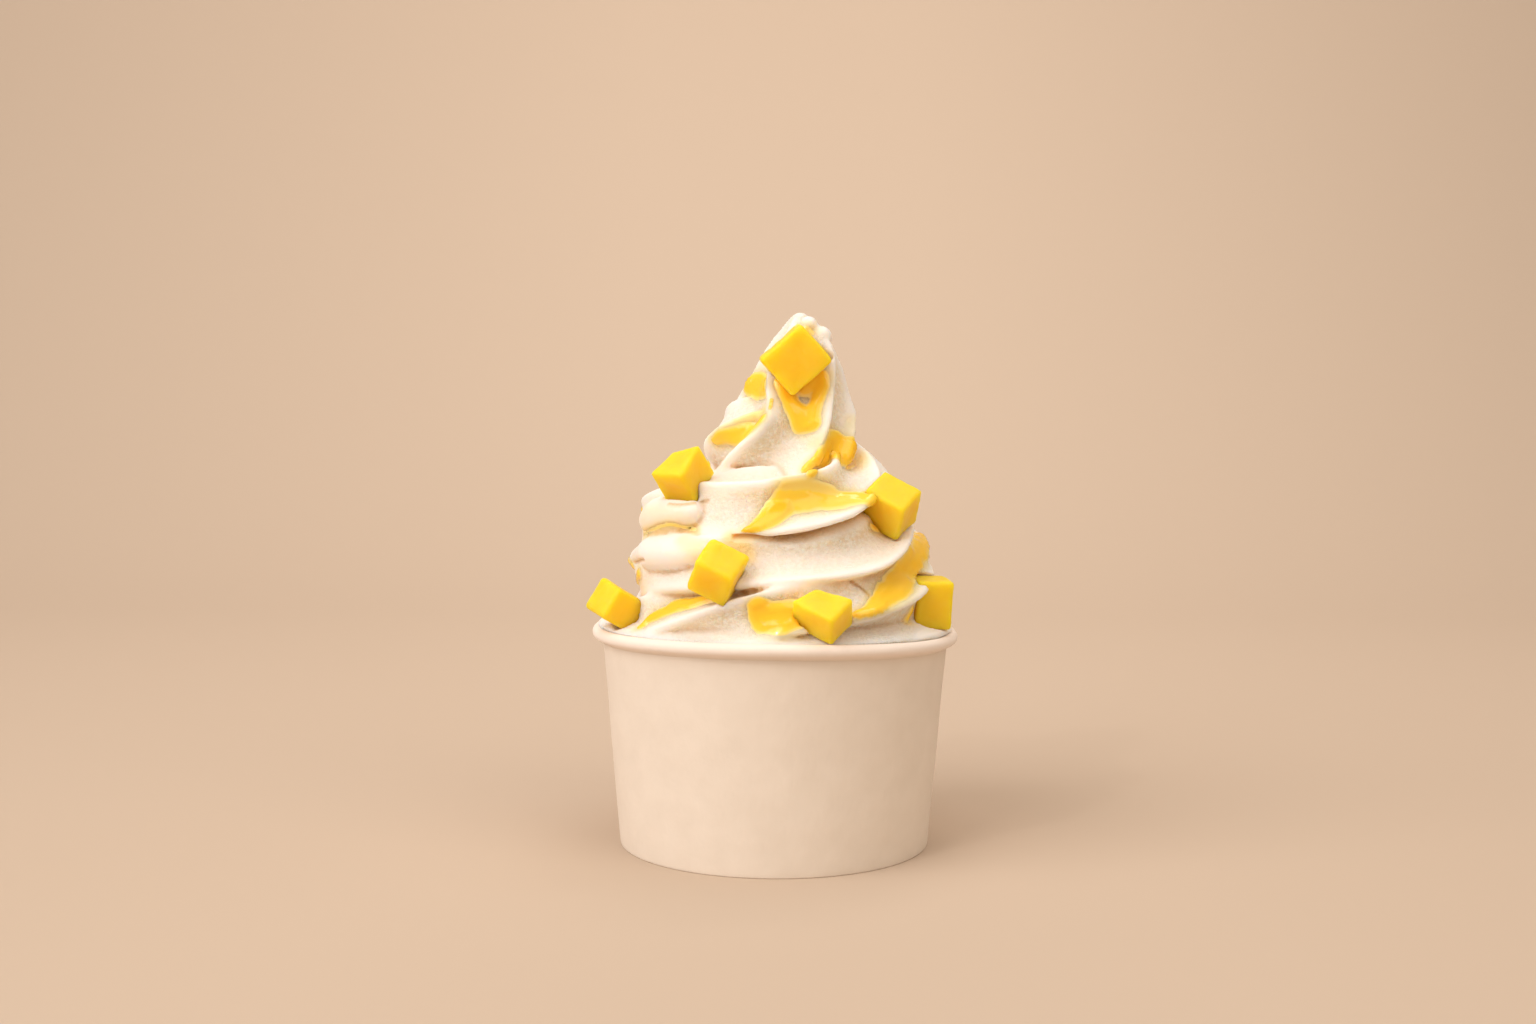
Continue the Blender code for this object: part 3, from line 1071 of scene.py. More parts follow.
# The peak pulled off the nozzle. Each row: height, centre's x, radius, and the azimuths of its front ribs.
PEAK_COURSE = (
    (86, 1, 15, 150, 196, 258, 292),
    (92, 1.2, 19, 152, 206, 268, 300),
    (97, 1.5, 21, 154, 215, 279, 309),
    (101, 1.8, 21.2, 156, 221, 288, 318),
    (105, 2.1, 20.4, 158, 230, 296, 328),
    (110, 2.8, 18.8, 160, 245, 303, 343),
    (114, 3.7, 17.3, 162, 251, 307, 356),
    (118, 4.6, 15.4, 165, 246, 310, 365),
    (122.5, 5.6, 13.3, 170, 232, 315, 372),
    (128, 6.3, 11.0, 172, 226, 325, 380),
    (133, 6.7, 8.3, 176, 228, 333, 388),
    (137, 6.4, 4.8, 180, 234, 338, 392),
    (139.5, 6.2, 2.3, 182, 238, 342, 396),
    (140.5, 6.2, 0.8, 184, 240, 344, 400),
)
# Soft noses where the rope folds. Each nose: azimuth, distance from the axis, height, then its half sizes
# outwards, round the axis and upwards, and how many degrees it tilts up along the azimuth.
NOSES = (
    (214, 32, 88.3, 6.5, 12.5, 5.8, 10),
    (221, 33.6, 79.4, 7.5, 14, 5.8, 6),
    (355, 11, 134.3, 3.6, 3, 3.2, 0),
    (350, 8.5, 137.4, 2.4, 2.4, 2.2, 0),
)
# Folds where one coil overhangs the next. Each fold: depth, then rows of azimuth, height and half width.
FOLDS = (
    (2.6, (
        (253, 84.5, 0.9), (261, 84.5, 1.1), (272, 84, 1.4), (283, 84.5, 1.8),
        (293, 86, 2.1), (304, 87.5, 2.3), (317, 89.5, 2.3), (330, 90.5, 1.8),
    )),
    (0.6, ((188, 82, 0.8), (211, 85, 0.9), (220, 86.5, 0.9), (226, 87, 0.9), (234, 85.5, 0.7))),
    (0.9, ((190, 75, 0.8), (199, 76, 1), (214, 77.5, 0.8))),
    (0.9, ((299, 73.5, 0.7), (303, 72, 0.8), (306, 70, 0.9), (306, 68.5, 0.7))),
    (0.5, ((223, 92, 0.7), (229, 92, 0.8), (233, 92.5, 0.8), (237, 93, 0.7))),
    (1.2, ((20, 83, 0.9), (45, 81.5, 1.3), (75, 84, 1.5), (105, 86, 1.3), (130, 88, 0.9))),
)
# The filling under the rope: radius and height, bottom to top.
CORE_OUTLINE = ((43.5, 30), (47, 59), (38, 62.5), (33, 74), (26, 86), (19, 96), (10, 106), (2, 112))


@dataclass
class YogurtSwirl:
    """Frozen yogurt piped through a star nozzle, coiled into a cone and pulled up to a peak."""

    cup: PaperCup
    ribs: int = 6
    flute_depth: float = 0.64
    rib_softness: float = 3.5
    rope_step: float = 3.0
    peak_step: float = 0.8
    section_points: int = 120
    core_sides: int = 96
    nose_sides: int = 24
    fine_voxel: float = 0.5 * MM
    voxel: float = 0.57 * MM
    cut_height: float = 52.0 * MM
    narrow_flute: float = 0.3
    wide_flute: float = 1.15
    seat_growth: float = 0.02
    press_depth: float = 9.0 * MM
    press_rise: float = 0.3
    crispness: float = 0.8
    crisp_rounds: int = 16
    crisp_start: Span = (59.0 * MM, 63.0 * MM)
    fold_rise: float = 0.3
    # How much painted shadow the sunk folds get.
    fold_shade: float = 0.9
    flute_rounds: int = 3
    flute_span: Span = (0.03, 0.22)
    # The direction away from the key light and the span that set the flutes' painted shade and weight the
    # grain.
    shade_direction: Place = (0.5, 0.1, -0.85)
    shade_span: Span = (-0.4, 0.15)
    hollow_lit: float = 0.32
    hollow_shaded: float = 0.95
    grain_lit: float = 0.55
    grain_depth: float = 0.15 * MM
    grain_lead: float = 6.0 * MM
    patch_size: float = 9.0 * MM
    patch_mean: float = 0.75
    fine_ice_size: float = 1.15 * MM
    coarse_ice_size: float = 2.1 * MM
    coarse_ice: float = 0.4
    soft_depth: float = 0.22 * MM
    soft_size: float = 6.0 * MM
    soft_start: Span = (58.0 * MM, 62.0 * MM)
    # The painted shadow in creases: how wide it looks, its span, and how faint it is near the rim.
    crease_rounds: int = 30
    crease_span: Span = (0.1 * MM, 0.8 * MM)
    crease_at_rim: float = 0.35
    crease_start: Span = (60.0 * MM, 68.0 * MM)

    def rib_profile(self, angle: np.ndarray) -> np.ndarray:
        """The nozzle's section as a radius factor: concave flutes between soft ribs, 1 at a rib.

        Args:
            angle: Angles from a rib, in radians.

        Returns:
            The factor at each angle.
        """
        half = math.pi / self.ribs
        depth = self.flute_depth
        reach = (1 - depth**2) / (2 * math.cos(half) - 2 * depth)
        flute = reach - depth
        total = np.zeros_like(angle)
        peak = 0.0
        for offset in np.radians(np.linspace(-self.rib_softness, self.rib_softness, 7)):
            off = np.mod(angle + offset, 2 * half) - half
            total += reach * np.cos(off) - np.sqrt(np.maximum(flute**2 - (reach * np.sin(off)) ** 2, 0.0))
            rib = math.fmod(offset + 2 * half, 2 * half) - half
            peak += reach * math.cos(rib) - math.sqrt(max(flute**2 - (reach * math.sin(rib)) ** 2, 0.0))
        return total / peak

    def rope(self) -> tuple[np.ndarray, np.ndarray]:
        """The coiled rope.

        Returns:
            Its rings of points as rows, rings and columns, and the depth below the ribs of each point.
        """
        rows = smooth_rows(ROPE_COURSE, self.rope_step)
        turn = np.radians(rows[:, 0])
        coil, height, half_width, half_height = (rows[:, 1:5] * MM).T
        ribs, shift, flutes = np.radians(rows[:, 5]), rows[:, 6] * MM, rows[:, 7]
        centre = np.stack([shift + coil * np.cos(turn), coil * np.sin(turn), height], axis=1)
        along = unit_rows(np.gradient(centre, axis=0))
        outward = np.stack([np.cos(turn), np.sin(turn), np.zeros_like(turn)], axis=1)
        outward = unit_rows(outward - np.sum(outward * along, axis=1)[:, None] * along)
        upward = np.cross(outward, along)
        around = np.linspace(0, math.tau, self.section_points, endpoint=False)
        factor = 1 - flutes[:, None] * (1 - self.rib_profile(around[None, :] - ribs[:, None]))
        across = (half_width[:, None] * factor * np.cos(around))[:, :, None] * outward[:, None, :]
        rising = (half_height[:, None] * factor * np.sin(around))[:, :, None] * upward[:, None, :]
        return centre[:, None, :] + across + rising, 1 - factor

    def peak(self) -> tuple[np.ndarray, np.ndarray]:
        """The peak, a twisted star column.

        Returns:
            Its rings of points, and the depth below the ribs of each point.
        """
        rows = smooth_rows(PEAK_COURSE, self.peak_step)
        around = np.arange(self.section_points) * FULL_TURN / self.section_points
        rings, depths = [], []
        for height, shift, radius, *keyed in rows:
            back_flutes = self.ribs - len(keyed) + 1
            spare = (keyed[0] + FULL_TURN - keyed[-1]) / back_flutes
            ribs = np.array([*keyed, *(keyed[-1] + spare * np.arange(1, back_flutes)), keyed[0] + FULL_TURN])
            angle = np.where(around < ribs[0], around + FULL_TURN, around)
            share = np.interp(angle, ribs, np.arange(len(ribs)))
            gap = np.diff(ribs)[np.clip(share.astype(int), 0, len(ribs) - 2)]
            hollow = 1 - self.rib_profile(share * math.tau / self.ribs)
            hollow *= np.clip(gap * self.ribs / FULL_TURN, self.narrow_flute, self.wide_flute)
            reach = radius * MM * (1 - hollow)
            x = shift * MM + reach * np.cos(np.radians(around))
            y = reach * np.sin(np.radians(around))
            rings.append(np.stack([x, y, np.full_like(x, height * MM)], axis=1))
            depths.append(hollow)
        return np.array(rings), np.array(depths)

    def noses(self) -> list[np.ndarray]:
        """The rope's soft noses.

        Returns:
            Each nose's rings of points.
        """
        around = np.arange(self.nose_sides) * math.tau / self.nose_sides
        shapes = []
        for azimuth, distance, height, half_depth, half_length, half_height, tilt in NOSES:
            turned = Matrix.Rotation(math.radians(azimuth), 3, "Z")
            turned = turned @ Matrix.Rotation(math.radians(tilt), 3, "X")
            centre = np.array(turned @ Vector((distance, 0, 0))) * (1, 1, 0) + (0, 0, height)
            rings = []
            for latitude in np.radians(np.linspace(-88, 88, self.nose_sides // 2)):
                level = np.full_like(around, math.tan(latitude))
                ring = np.stack([np.cos(around), np.sin(around), level], axis=1)
                ring *= math.cos(latitude) * np.array([half_depth, half_length, half_height])
                rings.append(centre + ring @ np.array(turned).T)
            shapes.append(np.array(rings) * MM)
        return shapes

    def core(self) -> np.ndarray:
        """The filling under the rope.

        Returns:
            Its rings of points.
        """
        azimuth = np.arange(self.core_sides) * math.tau / self.core_sides
        rings = []
        for radius, height in CORE_OUTLINE:
            x, y = radius * MM * np.cos(azimuth), radius * MM * np.sin(azimuth)
            rings.append(np.stack([x, y, np.full_like(azimuth, height * MM)], axis=1))
        return np.array(rings)

    def fuse(self) -> tuple[bpy.types.Object, KDTree, np.ndarray]:
        """Melts the rope, the peak and the filling into one skin.

        Returns:
            The object, a tree of the piped surfaces' points, and those points' depths below the ribs.
        """
        (rope, rope_depth), (peak, peak_depth) = self.rope(), self.peak()
        piped = [(rope, rope_depth), (peak, peak_depth)]
        piped += [(nose, np.zeros(nose.shape[:2])) for nose in self.noses()]
        vertices, faces = [], []
        for rings in [rings for rings, _ in piped] + [self.core()]:
            part = ring_faces(len(rings), rings.shape[1], sum(len(points) for points in vertices))
            faces += [tuple(reversed(face)) for face in part] if rings is rope else part
            vertices.append(rings.reshape(-1, 3))
        swirl = new_mesh_object("frozen_yogurt_swirl_ribbed", np.concatenate(vertices), faces)
        apply_modifier(swirl, "REMESH", mode="VOXEL", voxel_size=self.fine_voxel)
        apply_modifier(swirl, "SMOOTH", factor=0.5, iterations=1)
        surface = point_tree(np.concatenate(vertices[:-1]))
        return swirl, surface, np.concatenate([depth.ravel() for _, depth in piped])

    def press_cubes(self, swirl: bpy.types.Object, cubes: list[np.ndarray]) -> None:
        """Presses the mango cubes' seats into the swirl and melts their edges soft.

        Args:
            swirl: The fused swirl.
            cubes: The points of each cube.
        """
        presses = new_mesh_object("presses", np.zeros((0, 3)), [])
        joined = bmesh.new()
        for cube in cubes:
            centre = cube.mean(axis=0)
            grown = centre + (cube - centre) * (1 + self.seat_growth)
            away = np.array([centre[0], centre[1], self.press_rise * np.hypot(centre[0], centre[1])])
            away *= self.press_depth / np.linalg.norm(away)
            points = [joined.verts.new(point) for point in np.concatenate([grown, grown + away])]
            hull = bmesh.ops.convex_hull(joined, input=points)
            inside = dict.fromkeys(hull["geom_interior"] + hull["geom_unused"])
            bmesh.ops.delete(joined, geom=list(inside), context="VERTS")
        joined.to_mesh(presses.data)
        joined.free()
        apply_modifier(swirl, "BOOLEAN", operation="DIFFERENCE", object=presses, solver="MANIFOLD")
        bpy.data.objects.remove(presses)
        apply_modifier(swirl, "REMESH", mode="VOXEL", voxel_size=self.voxel)
        apply_modifier(swirl, "SMOOTH", factor=0.5, iterations=1)

    def keep_largest(self, swirl: bpy.types.Object) -> None:
        """Deletes the closed pockets that the coils trap inside.

        Args:
            swirl: The swirl.
        """
        edges = edges_of(swirl)
        label = np.arange(len(swirl.data.vertices))
        while True:
            low = np.minimum(label[edges[:, 0]], label[edges[:, 1]])
            new = label.copy()
            np.minimum.at(new, edges[:, 0], low)
            np.minimum.at(new, edges[:, 1], low)
            new = new[new]
            if np.array_equal(new, label):
                break
            label = new
        keep = np.bincount(label).argmax()
        shell = bmesh.new()
        shell.from_mesh(swirl.data)
        shell.verts.ensure_lookup_table()
        loose = [shell.verts[i] for i in np.flatnonzero(label != keep)]
        bmesh.ops.delete(shell, geom=loose, context="VERTS")
        shell.to_mesh(swirl.data)
        shell.free()

    def fill_cup(self, swirl: bpy.types.Object) -> None:
        """Cuts the skin below the rim and carries it down to the cup's base as one plain filling.

        Args:
            swirl: The swirl.
        """
        edit_all(swirl)
        bpy.ops.mesh.bisect(plane_co=(0, 0, self.cut_height), plane_no=(0, 0, 1), clear_inner=True)
        floor = self.cup.foot_depth + self.cup.gap + self.cup.paper + self.cup.gap
        bpy.ops.mesh.extrude_region_move(TRANSFORM_OT_translate={"value": (0, 0, floor - self.cut_height)})
        at_floor, at_cut = self.cup.inner_limit(np.array([floor, self.cut_height]))
        shrink = at_floor / at_cut
        bpy.ops.transform.resize(value=(shrink, shrink, 1), center_override=(0, 0, floor))
        bpy.ops.mesh.edge_face_add()
        bpy.ops.object.mode_set(mode="OBJECT")

    def clamp(self, swirl: bpy.types.Object) -> None:
        """Keeps the yogurt inside the cup's wall and clear of the rolled rim.

        Args:
            swirl: The swirl.
        """
        points = points_of(swirl)
        limit = self.cup.inner_limit(points[:, 2] + self.cup.drop_at(points))
        radius = np.hypot(points[:, 0], points[:, 1])
        scale = np.minimum(1, limit / np.maximum(radius, MM))
        points[:, :2] *= scale[:, None]
        move_points(swirl, points)

    def deepen_folds(self, swirl: bpy.types.Object, calm: np.ndarray) -> tuple[np.ndarray, np.ndarray]:
        """Sinks the folds under the overhanging coils.

        Args:
            swirl: The swirl.
            calm: Its vertices.

        Returns:
            The moved vertices, and how far inside a fold each one is, from 0 to 1.
        """
        skin, tree = skin_of(swirl, calm), point_tree(calm)
        inside = np.zeros(len(calm))
        sunk = np.zeros(len(calm))
        push = np.zeros_like(calm)
        for depth, rows in FOLDS:
            for point, _, half_width in lay_stroke(skin, rows):
                rise = self.fold_rise * math.hypot(point.x, point.y)
                inward = Vector((-point.x, -point.y, rise)).normalized()
                numbers, distances = around_sample(tree, point, half_width)
                share = ramp(1 - distances / half_width, 0, 1)
                deeper = share * depth > sunk[numbers]
                sunk[numbers[deeper]] = share[deeper] * depth
                push[numbers[deeper]] = inward
                inside[numbers] = np.maximum(inside[numbers], share)
        return calm + push * (sunk * MM)[:, None], inside

    def sharpen(self, swirl: bpy.types.Object) -> tuple[np.ndarray, np.ndarray]:
        """Makes the ribs crisper and sinks the folds.

        Args:
            swirl: The swirl.

        Returns:
            Its new vertices, and how far inside a fold each one is, from 0 to 1.
        """
        calm = points_of(swirl)
        crisp = self.crispness * ramp(calm[:, 2], *self.crisp_start)
        calm += crisp[:, None] * (calm - relaxed(calm, edges_of(swirl), self.crisp_rounds))
        calm, folded = self.deepen_folds(swirl, calm)
        move_points(swirl, calm)
        return calm, folded

    def frost(
        self, swirl: bpy.types.Object, calm: np.ndarray, folded: np.ndarray, depths: np.ndarray
    ) -> np.ndarray:
        """Adds soft lumps and icy grain, and stores what the yogurt's finish reads, painted shade in flutes and
        creases among it.

        Args:
            swirl: The swirl.
            calm: Its vertices.
            folded: How far inside a fold each vertex is.
            depths: How far below the ribs each vertex is.

        Returns:
            The vertices with the soft lumps but without the icy grain.
        """
        edges, normal = edges_of(swirl), normals_of(swirl)
        flute = ramp(relaxed(depths, edges, self.flute_rounds), *self.flute_span)
        # How far each face turns from the key light; it sets the painted shade in the flutes and also weights
        # the grain.
        shade = ramp(normal @ np.array(self.shade_direction), *self.shade_span)
        patches = between(self.patch_mean, 1, lumps(calm, self.patch_size, Pattern.GRAIN_PATCHES))
        grain = np.clip(flute * between(self.grain_lit, 1, shade) * patches, 0, 1)
        grain *= ramp(calm[:, 2], self.cut_height, self.cut_height + self.grain_lead)
        rough = lumps(calm, self.fine_ice_size, Pattern.FINE_ICE)
        rough += self.coarse_ice * lumps(calm, self.coarse_ice_size, Pattern.COARSE_ICE)
        soft = self.soft_depth * lumps(calm, self.soft_size, Pattern.SOFT_LUMPS)
        soft *= ramp(calm[:, 2], *self.soft_start)
        calm = calm + normal * soft[:, None]
        move_points(swirl, calm + normal * (self.grain_depth * grain * rough)[:, None])
        # Painted shadow in creases, where the surface bends in, fainter near the rim.
        bend = np.sum((relaxed(calm, edges, self.crease_rounds) - calm) * normal, axis=1)
        crease_shade = ramp(bend, *self.crease_span)
        crease_shade *= between(self.crease_at_rim, 1, ramp(calm[:, 2], *self.crease_start))
        store(swirl, "grain", grain)
        # Painted shadow: brown in creases and in the sunk folds.
        store(swirl, "crease_shade", np.maximum(crease_shade, self.fold_shade * folded))
        # Painted shade: tan in the flutes, stronger on faces turned from the key light.
        store(swirl, "hollow", np.clip(flute * between(self.hollow_lit, self.hollow_shaded, shade), 0, 1))
        return calm

    def build(self, finish: bpy.types.Material, cubes: list[np.ndarray]) -> tuple[bpy.types.Object, np.ndarray]:
        """Builds the swirl.

        Args:
            finish: The yogurt's material.
            cubes: The points of each mango cube that is pressed into it.

        Returns:
            The object, and its vertices before the icy grain was added.
        """
        swirl, tree, piped_depths = self.fuse()
        self.keep_largest(swirl)
        self.press_cubes(swirl, cubes)
        self.keep_largest(swirl)
        self.clamp(swirl)
        self.fill_cup(swirl)
        calm, folded = self.sharpen(swirl)
        depths = np.array([piped_depths[tree.find(point)[1]] for point in calm])
        calm = self.frost(swirl, calm, folded, depths)
        shade_smooth(swirl)
        finish_piece(swirl, Slot.YOGURT, finish, "frozen_yogurt_swirl")
        return swirl, calm


# ---------------------------------------------------------------------------------------------------------
# Mango sauce
# ---------------------------------------------------------------------------------------------------------

# The sauce's runs and pools. Each stroke: the sauce's depth, how strongly the yogurt round it is tinted,
# and rows of azimuth, height and half width along it. A stroke without depth only tints.
SAUCE_STROKES = (
    # Front: beads and pools on the peak.
    (0.7, 0.6, ((172, 122, 2), (200, 121.5, 3), (252, 121, 2.1))),
    (0.55, 0.8, ((196, 107, 1), (213, 108.5, 1.8), (228, 109, 2.1), (244, 110, 2.1), (256, 113, 1.4))),
    (0.0, 0.8, ((232, 113, 1.8), (250, 113.5, 1.8))),
    (0.5, 0.3, ((265, 118.5, 0.5), (264, 116, 0.5))),
    (0.9, 0.6, ((271, 124, 1), (281, 120, 1.6), (291, 116, 2.3), (300, 113, 3))),
    (0.7, 0.6, ((324, 124, 1.6), (319, 120, 1.6), (312, 117, 1.5), (303, 113.5, 2.3))),
    (0.5, 0.8, ((309, 121, 1.8), (319, 123, 2.1))),
    (1.2, 0.8, ((299, 103, 1.4), (310, 104.5, 2.6), (320, 105.5, 3.6), (329, 105.5, 3.5), (337, 104, 2.2))),
    (0.0, 0.4, ((350, 112, 1.2), (341, 109, 1.5))),
    (0.5, 0.6, ((295, 102, 1.3), (287, 100, 0.8))),
    (0.3, 0.5, ((334, 136.5, 0.8), (338, 135.5, 0.8))),
    # Front: the long run along the third coil.
    (0.6, 0.8, (
        (322, 93.5, 1.8), (311, 93.5, 2.4), (301, 93, 2.6), (292, 93.5, 2.5),
        (282, 94, 3), (274, 94, 2.5),
    )),
    (0.3, 0.8, ((274, 97, 1.4), (282, 97, 1.8), (292, 96, 1.9), (302, 94.5, 1.8))),
    (1.1, 0.6, ((275, 93.5, 2.2), (271, 91, 2.7), (266, 88.5, 2.2), (260, 86.5, 1.3), (257, 86, 0.8))),
    (0.35, 0.9, ((190, 82.5, 0.4), (211, 85, 0.5), (220, 86.5, 0.5), (226, 87, 0.5), (234, 85.5, 0.4))),
    (0.0, 0.25, ((205, 88.5, 1.4), (216, 89, 1.6), (228, 88.5, 1.2))),
    (0.0, 0.4, ((233, 83.5, 0.8), (238, 82.5, 1.2))),
    (0.0, 0.7, ((252, 84, 1), (255, 82.5, 1.5), (258, 80, 1))),
    # Front: the run down the right side and the pools above the first coil.
    (0.9, 0.9, (
        (370, 81, 1.8), (353, 78.5, 2.5), (339, 76, 2.7), (330, 73.5, 3),
        (320, 71, 3.2), (312, 69, 2.6), (304, 67, 1.9), (297, 66, 1.1),
    )),
    (0.8, 0.6, (
        (217, 60.5, 0.8), (218, 62.5, 1), (224, 64.5, 1.3), (230, 66.5, 1.4),
        (236, 67.5, 1.5), (241, 68.5, 1.5), (248, 69.5, 1.3),
    )),
    (1.0, 0.6, ((264, 68.5, 1.8), (266, 66, 2.6), (270, 65, 3.3), (275, 65.5, 3.3), (280, 65, 2.6))),
    (0.5, 0.7, ((200, 73, 1), (192, 70, 0.8))),
    (0.4, 0.8, ((323, 86, 1), (332, 84, 1))),
    (0.5, 0.8, ((327, 62.5, 0.8), (330, 65, 0.9))),
    # Right, back and left.
    (0.7, 0.7, ((20, 118, 1.2), (38, 114, 2), (52, 111, 1.6))),
    (1.0, 0.8, ((88, 108, 1.4), (104, 106.5, 2.3), (122, 106, 2.4), (140, 107, 1.4))),
    (0.9, 0.6, ((14, 94, 1.2), (28, 93, 2.2), (44, 94, 2.5), (60, 96, 2), (74, 97, 1))),
    (0.7, 0.8, ((112, 90, 1), (126, 88, 2), (142, 87, 2.3), (158, 87.5, 1.6), (170, 88, 0.9))),
    (0.9, 0.8, ((52, 83, 1.2), (62, 80, 2.2), (76, 77, 2.5), (90, 74.5, 2), (101, 73, 1.1))),
    (1.0, 0.7, ((22, 66.5, 1.3), (35, 66, 2.5), (50, 66, 2.8), (64, 67, 1.8))),
    (0.8, 0.8, ((112, 66, 1.1), (126, 65.5, 2.1), (144, 65, 2.5), (162, 64, 1.5))),
    (0.5, 0.8, ((165, 76, 1), (176, 74.5, 1.5), (186, 74, 0.9))),
)


@dataclass
class MangoSauce:
    """Sauce that fills the grooves where it was poured, with rounded edges.

    A vertex's closeness is 1 at the middle of a stroke, 0 at its edge and less outside.
    """

    width_factor: float = 1.65
    tint_core: float = 0.7
    tint_reach: float = 1.9 * MM
    tint_rounds: int = 4
    same_side: float = 0.1
    unreached: float = -1.0
    edge_reach: float = -0.9
    edge_wave: float = 0.16
    edge_size: float = 2.6 * MM
    field_rounds: int = 3
    depth_rounds: int = 2
    full_depth: float = 0.7
    fill_rounds: int = 24
    fill_share: float = 0.8
    sink: float = 0.15 * MM
    root: float = 0.35 * MM
    deepest: float = 1.2 * MM

    def spread(self, calm: np.ndarray, normal: np.ndarray, skin: BVHTree) -> tuple[np.ndarray, ...]:
        """Works out how near each vertex of the yogurt is to the sauce.

        Args:
            calm: The yogurt's vertices.
            normal: Their normals.
            skin: The yogurt's skin.

        Returns:
            The closeness, the depth of sauce and the tint of each vertex.
        """
        tree = point_tree(calm)
        near = np.full(len(calm), self.unreached)
        depths = np.zeros(len(calm))
        stain = np.zeros(len(calm))
        for depth, tint, rows in SAUCE_STROKES:
            for point, facing, half_width in lay_stroke(skin, rows):
                width = half_width * self.width_factor
                core = width * self.tint_core
                numbers, distances = around_sample(tree, point, width + self.tint_reach)
                alike = normal[numbers] @ facing > self.same_side
                numbers, distances = numbers[alike], distances[alike]
                halo = tint * ramp(width + self.tint_reach - distances, 0, width + self.tint_reach - core)
                stain[numbers] = np.maximum(stain[numbers], halo)
                closeness = 1 - distances / width
                nearer = (closeness > near[numbers]) & (depth > 0)
                near[numbers[nearer]] = closeness[nearer]
                depths[numbers[nearer]] = depth * MM
        return near, depths, stain

    def build(self, swirl: bpy.types.Object, calm: np.ndarray, finish: bpy.types.Material) -> None:
        """Pours the sauce on the swirl and tints the yogurt round it.

        Args:
            swirl: The yogurt.
            calm: Its vertices without the icy grain.
            finish: The sauce's material.
        """
        edges, normal = edges_of(swirl), normals_of(swirl)
        near, depths, stain = self.spread(calm, normal, skin_of(swirl, calm))
        near += self.edge_wave * lumps(calm, self.edge_size, Pattern.SAUCE_EDGE) * (near > self.edge_reach)
        near = relaxed(near, edges, self.field_rounds)
        depths = relaxed(depths, edges, self.depth_rounds)
        store(swirl, "stain", np.clip(relaxed(stain, edges, self.tint_rounds), 0, 1))

        share = ramp(near, 0.0, self.full_depth)
        filled = relaxed(calm, edges, self.fill_rounds)
        fill = np.clip(np.sum((filled - calm) * normal, axis=1), 0, None)
        swell = share * (depths + self.fill_share * fill) - self.sink * (1 - share)
        outer = calm + normal * swell[:, None]
        inner = calm - normal * (self.root + self.sink)
        wet = near > 0
        covered = [face for face in faces_of(swirl) if any(wet[vertex] for vertex in face)]
        sauce, used = new_film("mango_sauce_runs", covered, outer, inner)
        thickness = np.clip((share * depths)[used] / self.deepest, 0, 1)
        store(sauce, "depth", np.concatenate([thickness, thickness]))
        shade_smooth(sauce)
        finish_piece(sauce, Slot.SAUCE, finish)


# ---------------------------------------------------------------------------------------------------------
# Mango cubes
# ---------------------------------------------------------------------------------------------------------


@dataclass
class MangoCubes:
    """Knife-cut cubes of mango, one for each cube of the frame."""

    weld: float = 0.005 * MM
    voxel: float = 0.42 * MM
    rounding: int = 5
    dent: float = 0.28 * MM
    dent_size: float = 5.5 * MM
    pit: float = 0.07 * MM
    pit_size: float = 1.3 * MM

    def build_one(self, node: str, number: int, finish: bpy.types.Material) -> None:
        """Cuts one cube from its CAD solid, with soft edges, slightly hollow faces and fibre marks.

        Args:
            node: The CAD node it stands for.
            number: Chooses its marks.
            finish: The mango's material.
        """
        mesh = frame["nodes"][node].data.copy()
        cube = bpy.data.objects.new(f"{node}_flesh", mesh)
        mesh.name = cube.name
        bpy.context.scene.collection.objects.link(cube)
        edit_all(cube)
        bpy.ops.mesh.remove_doubles(threshold=self.weld)
        bpy.ops.object.mode_set(mode="OBJECT")
        apply_modifier(cube, "REMESH", mode="VOXEL", voxel_size=self.voxel)
        apply_modifier(cube, "SMOOTH", factor=0.5, iterations=self.rounding)
        points, normal = points_of(cube), normals_of(cube)
        wave = self.dent * lumps(points, self.dent_size, Pattern.CUBE_WAVE + number)
        marks = self.pit * lumps(points, self.pit_size, Pattern.CUBE_MARKS + number)
        move_points(cube, points + normal * (wave + marks)[:, None])
        shade_smooth(cube)
        finish_piece(cube, Slot.MANGO, finish, node)

    def nodes(self) -> list[str]:
        """The frame's cubes in order."""
        return sorted(name for name in frame["nodes"] if name.startswith("mango_cube_"))

    def solids(self) -> list[np.ndarray]:
        """The points of each cube of the frame."""
        return [points_of(frame["nodes"][node]) for node in self.nodes()]

    def build(self, finish: bpy.types.Material) -> None:
        """Builds every cube of the frame."""
        for number, node in enumerate(self.nodes(), start=1):
            self.build_one(node, number, finish)


# ---------------------------------------------------------------------------------------------------------
# Studio
# ---------------------------------------------------------------------------------------------------------


@dataclass(frozen=True)
class SoftLight:
    """A square light: where it hangs and points, its side in metres, its watts and its colour."""

    name: str
    place: Place
    target: Place
    size: float
    power: float
    colour: Colour

    def hang(self) -> None:
        """Adds the light to the scene and aims it."""
        light = bpy.data.lights.new(self.name, "AREA")
        light.size = self.size
        light.energy = self.power
        light.color = self.colour
        lamp = bpy.data.objects.new(self.name, light)
        bpy.context.scene.collection.objects.link(lamp)
        lamp.location = self.place
        lamp.rotation_euler = (Vector(self.target) - Vector(self.place)).to_track_quat("-Z", "Y").to_euler()


